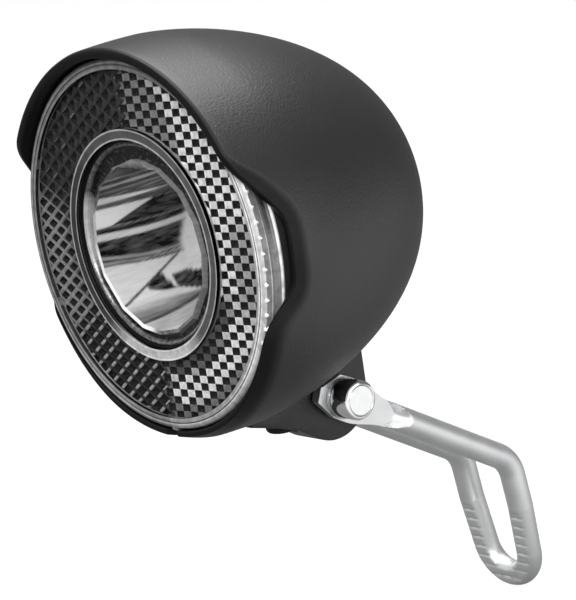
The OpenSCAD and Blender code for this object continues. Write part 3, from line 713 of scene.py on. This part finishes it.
# Cable blades: two stamped brass blades on the driver board, for the clips of the cable.
# Bare brass gives a yellow metal with patches of darker tarnish.
dress("cable_blades",
      mottled("stamped_brass", 1.5, ("#b28d3e", "#d6b566"), {"Metallic": 1.0, "Roughness": 0.3}, detail=3))

# Lamp reflector: an ABS bowl with a mirror of vacuum-deposited aluminium. Flat facets run back from
# a many-sided rim to the deep end under a flat roof, and a round tube and flange carry it.
tube_r, tube_in, tube_y = 18.7, 17.7, 2.0
bowl_back, bowl_power, roof_z, bowl_wall = 27.45, 2.5, 13.5, 1.6
rim_y, rim_r, rim_low = 2.3, 15.4, -0.6
half_turns = (0, 21, 45.5, 69, 91, 112, 138.5, 161, 180)
facet_turns = [math.radians(a) for a in half_turns[:-1]] + [math.radians(360 - a) for a in half_turns[:0:-1]]
left_strips, right_strips = 22, 5
# Shares of the bowl's depth at which its curve has points, closer together at the deep end.
inner_shares = [i / 48 for i in range(44)] + [0.94, 0.965, 0.985, 0.993, 0.997, 0.9992]
outer_shares = [i / 14 for i in range(14)]
edge_share, edge_lift = 0.42, 0.25


def rim_point(i):
    a = facet_turns[i % len(facet_turns)]
    return Vector((rim_r * math.sin(a), rim_low + rim_r * math.cos(a)))


def bowl_line(start, outward, shares):
    """Points from the rim back along the bowl's curve to its deep end, under the flat roof."""
    reach = start - Vector((0, roof_z))
    length = reach.length
    way = reach / length
    grow = outward * bowl_wall
    line = [(start.x + way.x * grow * edge_share, rim_y - outward * edge_lift, start.y + way.y * grow * edge_share)]
    for share in shares[1:]:
        r = length * (1 - share ** bowl_power) ** (1 / bowl_power) + grow
        y = rim_y + (bowl_back - rim_y + grow) * share
        line.append((way.x * r, y, min(roof_z + way.y * r, roof_z + grow)))
    return line


inner, outer = [], []
for i in range(len(facet_turns)):
    strips = left_strips if i >= len(facet_turns) / 2 else right_strips
    for k in range(strips):
        start = rim_point(i).lerp(rim_point(i + 1), k / strips)
        inner.append(bowl_line(start, 0, inner_shares))
        outer.append(bowl_line(start, 1, outer_shares))
bowl_points, bowl_faces, bowl_tone = [], [], []
inner_count, outer_count = len(inner_shares), len(outer_shares)
for line in inner:
    bowl_points += [at(*p) for p in line]
inner_end = len(bowl_points)
bowl_points.append(at(0, bowl_back, roof_z - 0.01))
outer_from = len(bowl_points)
for line in outer:
    bowl_points += [at(*p) for p in line]
outer_end = len(bowl_points)
bowl_points.append(at(0, bowl_back + bowl_wall, roof_z + bowl_wall))

# Painted reflections: how bright each patch of the mirror is painted, fixed to the bowl. Patches painted light stand
# for a mirrored open front, and those painted dark for the mirrored roof and black ring. Each band of the left wall
# has the angle at which it starts down from the roof's middle, its lean for each millimetre of depth, the bow of its
# edge and its tone.
wall_bands = ((14.0, 0.15, 0, 0.28), (15.6, 0.15, 0, 0.05), (18.3, 0.1, 0, 0.5), (20.3, 0.1, 0, 0.06),
              (22.4, 0.12, 0, 0.25), (23.3, 0.12, 0, 0.06), (25.2, 0.1, 0, 0.95), (28.2, 0.13, 0, 0.1),
              (30.2, 0.1, 0.012, 1.0), (38.5, 0.1, 0.01, 0.04), (40.4, 0.14, 0.0105, 0.8),
              (42.7, 0.14, 0.0105, 0.035), (49.0, 0.27, 0.011, 0.4), (50.0, 0.25, 0.012, 0.06),
              (51.0, 0.2, 0.014, 0.4), (51.8, 0.12, 0.02, 0.1), (52.6, 0.05, 0.028, 0.82))
strip_band, wedge_band = 6, 8
band_soft, roof_skin, front_depth = 0.7, 0.05, 6
strip_foot, strip_end, strip_lean = 28.2, 9.0, 3
wedge_foot, wedge_from, wedge_close = 38.6, 3.7, 0.65
triangle_near, triangle_far, triangle_top, triangle_foot = 6.6, 10.3, 64.6, 66.1
patch_near, patch_turn, patch_top, patch_foot = 11.3, 13.9, 64.5, 72.2
deep_y, deep_foot = 19.5, 64
crease_start, crease_lean, crease_half = 69.0, -0.75, 0.5
streak_start, streak_lean, streak_bow, streak_half = 79.7, -0.25, 0.011, 0.8


def past(value, edge, soft=band_soft):
    return smooth((value - edge) / soft + 0.5)


# The painted reflection at a point of the inner wall: its bands, strip, wedge, crease line, triangle, patch, streak
# and deep end are all painted light and shade.
def mirror_tone(x, y, z):
    fall = math.degrees(math.atan2(roof_z - z, -x))
    depth = y - rim_y
    if z > roof_z - roof_skin:
        return 0.3 if depth < 0.3 else 0.05
    if fall > 90 and depth < front_depth:
        return 0.8
    tone = 0.04
    inside = []
    for start, lean, bow, light in wall_bands:
        inside.append(past(fall, start + lean * depth + bow * depth * depth))
        tone = mix(tone, light, inside[-1])
    strip, wedge = (inside[k] * (1 - inside[k + 1]) for k in (strip_band, wedge_band))
    bright = inside[-1]
    tone = mix(tone, 0.1, strip * past(depth, strip_end - strip_lean * (strip_foot - fall), 1.5))
    tone = mix(tone, 0.03, wedge * past(fall, wedge_foot - wedge_close * max(0.0, depth - wedge_from)))
    crease = crease_start + crease_lean * depth
    beyond = bright * past(fall, crease)
    triangle = (past(depth, triangle_near, 0.8) * (1 - past(depth, triangle_far + 0.14 * (fall - triangle_top), 0.5))
                * (1 - past(fall, triangle_foot + 0.95 * (depth - triangle_near), 1)))
    top = patch_top + 0.5 * (depth - 11.2) + 2.0 * max(0.0, depth - patch_turn)
    foot = patch_foot + 2.7 * (depth - 11.9)
    patch = past(depth, patch_near, 0.6) * past(fall, top, 1) * (1 - past(fall, foot, 1.5))
    below = past(fall, 70.2 - 0.3 * depth + 0.06 * depth * depth, 2)
    streak = streak_start + streak_lean * depth + streak_bow * depth * depth
    low_tone = mix(mix(0.72, 0.22, smooth((fall - 69) / 9)), 0.55, past(fall, streak))
    tone = mix(tone, mix(0.85, low_tone, below), beyond)
    tone = mix(tone, 0.05, beyond * max(triangle, patch))
    tone = mix(tone, 0.08, bright * (1 - past(abs(fall - crease), crease_half)) * (1 - past(depth, 17, 2)))
    tone = mix(tone, 0.1, beyond * (1 - past(abs(fall - streak), streak_half)))
    deep = past(y, deep_y - 2.5 * smooth((fall - 40) / 20), 1.2) * (1 - past(fall, deep_foot, 4))
    return mix(tone, mix(0.25, 1.0, smooth((fall - 36) / 14)), deep)


def edge_tone(x, z):
    """The painted reflection on the rim's bevel, which is painted light down the left side."""
    turn = math.degrees(math.atan2(x, z))
    left = smooth((-turn - 62) / 14) * (1 - smooth((-turn - 168) / 12))
    return mix(0.35 if abs(turn) < 26 else 0.1, mix(0.5, 0.85, smooth((-turn - 92) / 10)), left)


# Painted reflection for each face: the inner wall's from its points, 0.8 at the deep end, 0.4 on the outside, and the
# bevel's from edge_tone.
for j in range(len(inner)):
    n = (j + 1) % len(inner)
    a, b = j * inner_count, n * inner_count
    c, d = outer_from + j * outer_count, outer_from + n * outer_count
    for i in range(inner_count - 1):
        bowl_faces.append((a + i, a + i + 1, b + i + 1, b + i))
        bowl_tone.append(None)
    for i in range(outer_count - 1):
        bowl_faces.append((c + i, d + i, d + i + 1, c + i + 1))
        bowl_tone.append(0.4)
    bowl_faces += [(a + inner_count - 1, inner_end, b + inner_count - 1),
                   (c + outer_count - 1, d + outer_count - 1, outer_end), (a, b, d, c)]
    bowl_tone += [0.8, 0.4, edge_tone(inner[j][0][0], inner[j][0][2])]


def round_lamp(r, h, a):
    return at(r * math.sin(a), h, r * math.cos(a))


flange_r, flange_y, flange_back = 24.5, 4.8, 6.4
band_in, band_y = 15.6, 2.9


def round_tube(r, h, a):
    """Round the lamp's middle for the tube, and round the bowl's own middle for the band that meets it."""
    return round_lamp(r, h, a) + (MM * Vector((0, 0, rim_low)) if r < tube_in else Vector())


tube = turned([(band_in, flange_back), (band_in, band_y), (tube_in, band_y), (tube_in, tube_y + 0.5),
               (tube_in + 0.25, tube_y + 0.15), (tube_in + 0.6, tube_y), (tube_r - 0.4, tube_y),
               (tube_r - 0.1, tube_y + 0.15), (tube_r, tube_y + 0.5), (tube_r, flange_y), (flange_r, flange_y),
               (flange_r, flange_back)], round_tube, 160)
# Painted shade and light on the tube and flange: darkest in the recess inside the tube, and lighter down the left
# side.
for face in tube[1]:
    p = (sum((tube[0][k] for k in face), Vector()) / len(face) - lens_middle) / MM
    turn = -math.degrees(math.atan2(p.x, p.z))
    left = smooth((turn - 58) / 14) * (1 - smooth((turn - 100) / 14))
    recess = math.hypot(p.x, p.z) < tube_in - 0.1
    bowl_tone.append(mix(0.0, 0.4, left) if recess else mix(0.1, 0.5, left))
bowl_points, bowl_faces = joined((bowl_points, bowl_faces), tube)

# Vacuum-metallised plastic: a bright mirror, a little soft, with fine streaks drawn along the bowl. Its colour is the
# painted reflection of the tone, from near black to white, varied a little by the streaks.
mirror_coat, tree = new_material("vacuum_metallised_abs")
place = add_node(tree, "TexCoord").outputs["Object"]
tone = add_node(tree, "Attribute", attribute_name="tone")
stretch = add_node(tree, "Mapping", {"Vector": place, "Scale": (1 / (0.7 * MM), 1 / (5 * MM), 1 / (0.7 * MM))})
ripple = add_node(tree, "TexNoise", {"Vector": stretch.outputs[0], "Scale": 1.0, "Detail": 4})
lively = add_node(tree, "MapRange", {"Value": ripple.outputs[0], "From Min": 0.3, "From Max": 0.7,
                                     "To Min": -0.07, "To Max": 0.07})
light_here = add_node(tree, "Math", {0: tone.outputs["Fac"], 1: lively.outputs[0]}, operation="ADD", use_clamp=True)
dark, pale = linear("#0a0a0a"), linear("#ffffff")
shade = add_node(tree, "Mix", {0: light_here.outputs[0], 6: dark, 7: pale}, data_type="RGBA")
relief = add_node(tree, "Bump", {"Height": ripple.outputs[0], "Strength": 0.2, "Distance": 0.2 * MM})
shader = add_node(tree, "BsdfPrincipled", {"Base Color": shade.outputs[2], "Metallic": 0.4, "Roughness": 0.14,
                                           "Normal": relief.outputs[0]})
add_node(tree, "OutputMaterial", {"Surface": shader.outputs[0]})
bowl = add_piece("faceted_bowl", bowl_points, bowl_faces, [mirror_coat], "lamp", ["lamp_reflector"],
                 sharp=8)
point_tone = [mirror_tone(*p) for line in inner for p in line]
corner_tone = []
for face in bowl.data.polygons:
    corner_tone += [point_tone[v] if bowl_tone[face.index] is None else bowl_tone[face.index] for v in face.vertices]
bowl.data.attributes.new("tone", "FLOAT", "CORNER").data.foreach_set("value", corner_tone)

# Lamp board, emitter and heat sink: an aluminium-core board lies on the bowl's roof with the light
# emitter shining down through it, under a finned block of extruded aluminium.
# The board's solder mask gives a clean, half-glossy white.
dress("lamp_board", mottled("white_mask_aluminium_board", 2, ("#dadad4", "#efefea"), {"Roughness": 0.4, "IOR": 1.5}))

# Phosphor under silicone: a grainy yellow below a glossy clear skin.
dress("light_emitter",
      mottled("phosphor_under_silicone", 0.25, ("#e6c84a", "#f6e07a"), {"Roughness": 0.2, "IOR": 1.41}))

# Extruded aluminium: a pale satin metal with fine lines drawn along the lamp by the die.
extruded, tree = new_material("extruded_aluminium")
place = add_node(tree, "TexCoord").outputs["Object"]
stretch = add_node(tree, "Mapping", {"Vector": place, "Scale": (1 / (0.2 * MM), 1 / (6 * MM), 1 / (0.2 * MM))})
lines = add_node(tree, "TexNoise", {"Vector": stretch.outputs[0], "Scale": 1.0, "Detail": 2})
shade = add_node(tree, "Mix", {0: lines.outputs[0], 6: linear("#b6b8ba"), 7: linear("#d2d3d5")}, data_type="RGBA")
shader = add_node(tree, "BsdfPrincipled", {"Base Color": shade.outputs[2], "Metallic": 1.0, "Roughness": 0.38})
add_node(tree, "OutputMaterial", {"Surface": shader.outputs[0]})
dress("heat_sink", extruded)

# Lens seal: a flat ring cut from sheet rubber, squeezed between the lens's skirt and the hood's ledge.
# The cut rubber gives a dead matt black.
dress("lens_seal", mottled("flat_cut_rubber", 1.1, ("#0d0d0d", "#161616"),
                           {"Roughness": 0.8, "IOR": 1.52, "Specular IOR Level": 0.25}, detail=3))

# Lens carrier: a glossy black ring that closes the back of the prisms. Its collar shows through the
# lens as the black ring round the window, and the bowl's flange is screwed to it.
collar_in, collar_r, collar_y, collar_edge = 18.75, 19.8, 1.9, 0.2
plate_y, plate_back, plate_r = 3.0, 4.8, 32.0
carrier_points, carrier_faces = turned(
    [(collar_in, collar_y + collar_edge), (collar_in + collar_edge, collar_y), (collar_r - collar_edge, collar_y),
     (collar_r, collar_y + collar_edge), (collar_r, plate_y), (plate_r, plate_y), (plate_r, plate_back),
     (collar_in, plate_back)], round_lamp, 160)

# Moulded ABS: a deep black that stays dark behind the clear lens.
gloss_black = mottled("glossy_black_abs_ring", 2.5, ("#060606", "#0c0c0c"),
                      {"Roughness": 0.3, "IOR": 1.5, "Specular IOR Level": 0.08})
add_piece("carrier_ring", carrier_points, carrier_faces, [gloss_black], "lamp", ["lens_carrier"])

# Prism ring: a clear acrylic plate of corner-cube prisms in the recess of the lens. The left half
# is moulded as diamonds between thin ridges and the right half as a checkerboard of cells.
prism_in, prism_out, prism_fit = 21.3, 32.0, 0.03
prism_y, prism_floor, prism_back = 0.85, 1.05, 3.0
dash_half = 0.62
cell_w, cell_h, cell_rise, least_area = 2.16, 1.373, 0.066, 0.2
base_y = prism_floor + 0.35
stud_foot, side_tone = base_y + 0.2, 0.05
prism_points, prism_faces, prism_tone = [], [], []


def polar(x, z):
    return math.hypot(x, z), math.degrees(math.atan2(x, z))


def in_ring(x, z):
    r = math.hypot(x, z)
    keep = min(max(r, prism_in + prism_fit), prism_out - prism_fit) / r
    return x * keep, z * keep


def add_stud(corners, tops, faces, tones):
    """A closed stud: corner points on the prism floor, raised or sunk points, and faces with tones."""
    flat = [in_ring(x, z) for x, z in corners]
    area = sum(a[0] * b[1] - b[0] * a[1] for a, b in zip(flat, flat[1:] + flat[:1])) / 2
    if abs(area) < least_area:
        return
    first = len(prism_points)
    count = len(flat)
    prism_points.extend(at(x, prism_floor, z) for x, z in flat)
    for x, y, z in tops:
        x, z = in_ring(x, z)
        prism_points.append(at(x, y, z))
    under = len(prism_points)
    prism_points.extend(at(x, stud_foot, z) for x, z in flat)
    for face, value in zip(faces, tones):
        prism_faces.append(tuple(first + i for i in face))
        prism_tone.append(value)
    for i in range(count):
        k = (i + 1) % count
        prism_faces.append((first + i, first + k, under + k, under + i))
        prism_tone.append(side_tone)
    prism_faces.append(tuple(under + i for i in range(count)))
    prism_tone.append(side_tone)


def right_tone(x, z):
    """The painted reflection on a light cell of the checkerboard, painted greyer and darker in a few places."""
    r, turn = polar(x, z)
    value = mix(0.2, 0.74, smooth((turn - 12 - 2.6 * (prism_out - r) + 4) / 10))
    outer_grey = smooth((r - 24.8) / 1.2) * smooth((turn - 74) / 10) * (1 - smooth((turn - 108) / 12))
    value = mix(value, 0.34, outer_grey)
    inner_dark = (1 - smooth((r - 23.6) / 1.6)) * smooth((turn - 106) / 10)
    value = mix(value, 0.075, inner_dark)
    outer_dark = smooth((r - 29.0) / 1.2) * smooth((turn - 120) / 15)
    return mix(value, 0.16, outer_dark)


def left_look(x, z, m, n):
    """Widths of the two kinds of ridge, and the painted light and shade of the rising ridges, the falling ones and
    the gaps, with a painted glint on some rising ridges.
    """
    r, turn = polar(x, z)
    mid, low = smooth((abs(turn) - 66) / 20), smooth((abs(turn) - 118) / 14)
    outer = smooth((r - 23) / 3)
    glint = 0.12 if (7 * m + 5 * n) % 17 == 0 else 0.0
    thick = mix(mix(0.2, 0.36, mid), 0.27, low)
    thin = mix(mix(0.1, 0.3, mid), 0.08, low)
    rising = mix(mix(0.025 + glint, mix(0.1, 0.22, outer), mid), 0.36, low)
    falling = mix(mix(0.02, mix(0.08, 0.2, outer), mid), 0.03, low)
    return thick, thin, rising, falling, mix(mix(0.03, mix(0.1, 0.24, outer), mid), 0.04, low)


dash_outline = [(-1, -1), (-1, 1), (-dash_half, 1), (dash_half, 1), (1, 1), (1, -1), (dash_half, -1),
                (-dash_half, -1)]
half_w, half_h = cell_w / 2, cell_h / 2
lift = cell_rise * half_w
rise, fall = Vector((half_w, half_h + lift)), Vector((half_w, lift - half_h))
prism_columns, prism_rows = int(prism_out / cell_w) + 3, int(prism_out / cell_h) + 2
for n in range(-prism_rows, prism_rows + 1):
    for m in range(-prism_columns, prism_columns + 1):
        x = cell_w * m
        z = cell_h * n + cell_rise * x
        dark = (m + n) % 2 == 0
        if not prism_in - 2 < math.hypot(x, z) < prism_out + 2:
            continue
        if m >= 1 or (m == 0 and dark):
            corners = [(x - half_w, z - half_h - lift), (x + half_w, z - half_h + lift),
                       (x + half_w, z + half_h + lift), (x - half_w, z + half_h - lift)]
            # Dark cells: painted near black, standing for the black ring seen through them.
            if dark:
                add_stud(corners, [(x, prism_floor + 0.2, z)], [(0, 1, 4), (1, 2, 4), (2, 3, 4), (3, 0, 4)],
                         [0.004, 0.008, 0.003, 0.005])
            else:
                # Light cells: painted reflected light, lighter on the left third of each cell than on the rest.
                t = right_tone(x, z)
                ridge = x - half_w / 3
                add_stud(corners, [(ridge, prism_y, z - half_h * 0.8), (ridge, prism_y, z + half_h * 0.8)],
                         [(0, 4, 5, 3), (4, 1, 2, 5), (0, 1, 4), (3, 5, 2)],
                         [min(1.0, t * 1.25), t * 0.85, t * 0.9, t])
        elif m <= -1 and dark:
            middle = Vector((x, z))
            corners = [tuple(middle + a * rise + b * fall) for a, b in dash_outline]
            # Left diamonds: painted light on the ridges, a painted glint now and then, and painted dark pits, a
            # little lighter towards the top.
            thick, thin, up, over, gap = left_look(x, z, m, n)
            inside = [middle + a * (1 - thin) * rise + b * (1 - thick) * fall for a, b in dash_outline]
            upper = 1 - smooth((abs(polar(x, z)[1]) - 60) / 25)
            add_stud(corners, [(p.x, prism_floor - 0.05, p.y) for p in inside] + [(x, prism_floor + 0.25, z)],
                     [(k, (k + 1) % 8, 8 + (k + 1) % 8, 8 + k) for k in range(8)]
                     + [(8 + k, 8 + (k + 1) % 8, 16) for k in range(8)],
                     [over, gap, up, gap, over, gap, up * 0.7, gap] + [0.003] + [mix(0.008, 0.035, upper)] * 3
                     + [mix(0.004, 0.05, upper)] + [0.001] * 3)
plate = turned([(prism_in, base_y), (prism_out, base_y), (prism_out, prism_back), (prism_in, prism_back)],
               round_lamp, 160)
prism_tone += [0.16] * len(plate[1])
prism_points, prism_faces = joined((prism_points, prism_faces), plate)


def toned_acrylic(name, patch, swing, dark, sockets, detail=2):
    """Acrylic whose faces carry painted light and shade as tones, which vary by the swing in patches of so many
    millimetres.
    """
    made, tree = new_material(name)
    place = add_node(tree, "TexCoord").outputs["Object"]
    tone = add_node(tree, "Attribute", attribute_name="tone")
    flow = add_node(tree, "TexNoise", {"Vector": place, "Scale": 1 / (patch * MM), "Detail": detail})
    lively = add_node(tree, "MapRange", {"Value": flow.outputs[0], "From Min": 0.3, "From Max": 0.7,
                                         "To Min": 1 - swing, "To Max": 1 + swing})
    light_here = add_node(tree, "Math", {0: tone.outputs["Fac"], 1: lively.outputs[0]}, operation="MULTIPLY",
                          use_clamp=True)
    shade = add_node(tree, "Mix", {0: light_here.outputs[0], 6: linear(dark), 7: linear("#ffffff")}, data_type="RGBA")
    shader = add_node(tree, "BsdfPrincipled", {"Base Color": shade.outputs[2], "IOR": 1.49, **sockets})
    add_node(tree, "OutputMaterial", {"Surface": shader.outputs[0]})
    return made


# Moulded acrylic prisms, with painted light and shade on every facet: facets that send light back are painted white,
# and those that let it through to the black ring are painted black.
prism_acrylic = toned_acrylic("moulded_acrylic_prisms", 0.9, 0.2, "#0a0a0a",
                              {"Roughness": 0.25, "Specular IOR Level": 0.1})
add_piece("corner_cube_ring", prism_points, prism_faces, [prism_acrylic], "lamp", ["prism_ring"],
          tone=prism_tone, sharp=5)

# Front lens: one clear acrylic moulding. It has a thin face over the prisms, a thicker window inside
# a rib, a skirt that snaps into the mouth of the hood on five tabs, and fine teeth round its rim.
lens_r, lens_edge, skirt_in, skirt_y = 34.0, 0.6, 32.1, 4.8
face_t, window_t, rib_r, rib_in, rib_y = 0.8, 1.8, 21.2, 19.9, 3.0
rib_line, rib_edge = (19.25, 19.55), 20.9
# Radii of the lines round the face's rim, and depths of the lines round the skirt.
bead_in, groove_in, groove_out, bead_out = 32.45, 32.7, 32.95, 33.35
thread_top, thread_foot, shade_foot, wall_foot, flange_top = 1.7, 1.95, 2.4, 3.2, 3.85
lens_outline = [(0, 0), (rib_line[0], 0), (rib_line[1], 0.03), (rib_edge, 0.03), (rib_r, 0), (31.95, 0), (bead_in, 0),
                (groove_in, 0.06), (groove_out, 0.06), (33.1, 0), (bead_out, 0.02), (33.75, 0.2), (lens_r, lens_edge)]
lens_outline += [(lens_r, y) for y in (1.2, thread_top, thread_foot, shade_foot, wall_foot, flange_top, 4.4)]
lens_outline += [(lens_r - 0.2, skirt_y), (skirt_in, skirt_y), (skirt_in, face_t), (rib_r, face_t), (rib_r, rib_y),
                 (rib_in, rib_y), (rib_in, window_t), (0, window_t)]
lens_steps = 240
lens_points, lens_faces = turned(lens_outline, round_lamp, lens_steps, closed=False)
tab_half, tab_low, tab_high, tab_r, tab_soft, tab_root = 0.8, 0.8, 2.4, 34.7, 0.25, 0.6
tab_turns = (67, 113, 180, 247, 293)
tooth_half, tooth_high, tooth_pitch, tooth_root, tooth_foot = 0.95, 0.38, 4.63, 0.5, 0.08
tooth_turns = [66 + i * tooth_pitch for i in range(12)]


def tab(turn):
    a = math.radians(turn)
    out, side = Vector((math.sin(a), math.cos(a))), Vector((math.cos(a), -math.sin(a)))
    rings = []
    for r, inset in ((lens_r - tab_root, 0.0), (tab_r - tab_soft, 0.0), (tab_r, tab_soft)):
        ring = []
        for i, y in ((-1, tab_low), (1, tab_low), (1, tab_high), (-1, tab_high)):
            p = out * r + side * i * (tab_half - inset)
            ring.append(at(p.x, y + inset * (1 if y == tab_low else -1), p.y))
        rings.append(ring)
    return lofted(rings)


def tooth(turn):
    rings = []
    for y, share in ((0.25, 0.6), (0.5, 1.0), (0.95, 0.5)):
        ring = []
        for swing, r in ((-1, lens_r - tooth_root), (-1, lens_r - tooth_foot), (0, lens_r + tooth_high * share),
                         (1, lens_r - tooth_foot), (1, lens_r - tooth_root)):
            a = math.radians(turn + swing * tooth_half * share)
            ring.append(at(r * math.sin(a), y, r * math.cos(a)))
        rings.append(ring)
    return lofted(rings)


tabs = joined(*(tab(a) for a in tab_turns), *(tooth(a) for a in tooth_turns))
turned_faces = len(lens_faces)
lens_points, lens_faces = joined((lens_points, lens_faces), tabs)


def rim_tone(x, y, z):
    """The painted light that stands for what the rim pipes to the eye, line by line: down the skirt, and out across
    the face, lightest on the right.
    """
    r, turn = polar(x, z)
    right = smooth((turn - 45) / 20) * (1 - smooth((turn - 122) / 36))
    low = smooth((abs(turn) - 120) / 30)
    if r > lens_r - 0.1:
        down = smooth((turn - 70) / 25)
        if y < thread_top:
            return mix(0.08, 0.18, down)
        if y < thread_foot:
            return mix(0.08, 0.4, down)
        if y < shade_foot:
            return mix(0.02, 0.13, down)
        if y < wall_foot:
            return mix(0.008, 0.17, smooth((turn - 78) / 14))
        return mix(0.08, 0.2, down) if y < flange_top else 0.8
    foot = low * smooth((turn + 175) / 30) if turn < 0 else low
    if r > bead_out:
        return mix(mix(0.1, 0.25, foot), 0.45, right)
    if r > groove_out:
        return mix(mix(0.24, 0.35, foot), 0.7, right)
    if r > groove_in:
        return mix(0.05, 0.12, right)
    if r > bead_in:
        return mix(mix(0.12, 0.3, foot), 0.7, right)
    return mix(mix(0.2, 0.3, foot), 0.3, right)


# Painted light and shade on the rib's lines: the middle darker on the left, and all of it lighter low down.
def rib_tone(x, z):
    r, turn = polar(x, z)
    low = smooth((abs(turn) - 135) / 25)
    left = smooth((-turn - 20) / 40)
    if r < rib_line[1] or r > rib_edge:
        return mix(0.32, 0.6, low)
    return mix(mix(0.06, 0.02, left), 0.42, low)


lens_finish, lens_tone = [], []
for i, face in enumerate(lens_faces):
    p = (sum((lens_points[k] for k in face), Vector()) / len(face) - lens_middle) / MM
    r = math.hypot(p.x, p.z)
    rib = rib_line[0] < r < rib_r + 0.05
    lens_finish.append(1 if rib or r > skirt_in - 0.15 else 2 if r < rib_in else 0)
    # The tabs and teeth are painted lighter towards the right side.
    if i >= turned_faces:
        lens_tone.append(mix(0.25, 0.75, smooth(p.x / 20)))
    else:
        lens_tone.append(rib_tone(p.x, p.z) if rib else rim_tone(p.x, p.y, p.z))


def acrylic_polish(tree):
    """The share of a polished face that shines, and its gloss, dulled a little in patches by dust."""
    place = add_node(tree, "TexCoord").outputs["Object"]
    dust = add_node(tree, "TexNoise", {"Vector": place, "Scale": 1 / (6 * MM), "Detail": 2})
    dull = add_node(tree, "MapRange", {"Value": dust.outputs[0], "To Min": 0.03, "To Max": 0.08})
    gloss = add_node(tree, "BsdfGlossy", {"Roughness": dull.outputs[0]})
    return add_node(tree, "Fresnel", {"IOR": 1.06}).outputs[0], gloss.outputs[0]


# Polished clear acrylic: almost invisible face on, with a faint gloss.
clear_acrylic, tree = new_material("polished_clear_acrylic")
shine, gloss = acrylic_polish(tree)
clear = add_node(tree, "BsdfTransparent")
both = add_node(tree, "MixShader", {0: shine, 1: clear.outputs[0], 2: gloss})
add_node(tree, "OutputMaterial", {"Surface": both.outputs[0]})

# The same acrylic in the thick window, where it bends the view of the bowl behind it. Rays that only
# carry light to the bowl pass straight through.
window_acrylic, tree = new_material("thick_clear_acrylic_window")
shine, gloss = acrylic_polish(tree)
bend = add_node(tree, "BsdfRefraction", {"Color": linear("#ffffff"), "Roughness": 0.0, "IOR": 1.49})
seen = add_node(tree, "MixShader", {0: shine, 1: bend.outputs[0], 2: gloss})
path = add_node(tree, "LightPath")
looking = add_node(tree, "Math", {0: path.outputs["Is Camera Ray"], 1: path.outputs["Is Transmission Ray"]},
                   operation="MAXIMUM")
clear = add_node(tree, "BsdfTransparent")
both = add_node(tree, "MixShader", {0: looking.outputs[0], 1: clear.outputs[0], 2: seen.outputs[0]})
add_node(tree, "OutputMaterial", {"Surface": both.outputs[0]})

# The same acrylic seen along its rim, rib and skirt, where painted light stands for the light piped through it: a
# milky grey, painted lighter where more is piped.
rim_acrylic = toned_acrylic("painted_light_acrylic_rim", 1.5, 0.25, "#1a1a1a",
                            {"Roughness": 0.15, "Specular IOR Level": 0.25}, detail=3)
add_piece("clear_front_lens", lens_points, lens_faces, [clear_acrylic, rim_acrylic, window_acrylic], "lamp",
          ["front_lens"], finish_of=lens_finish, tone=lens_tone, sharp=20)
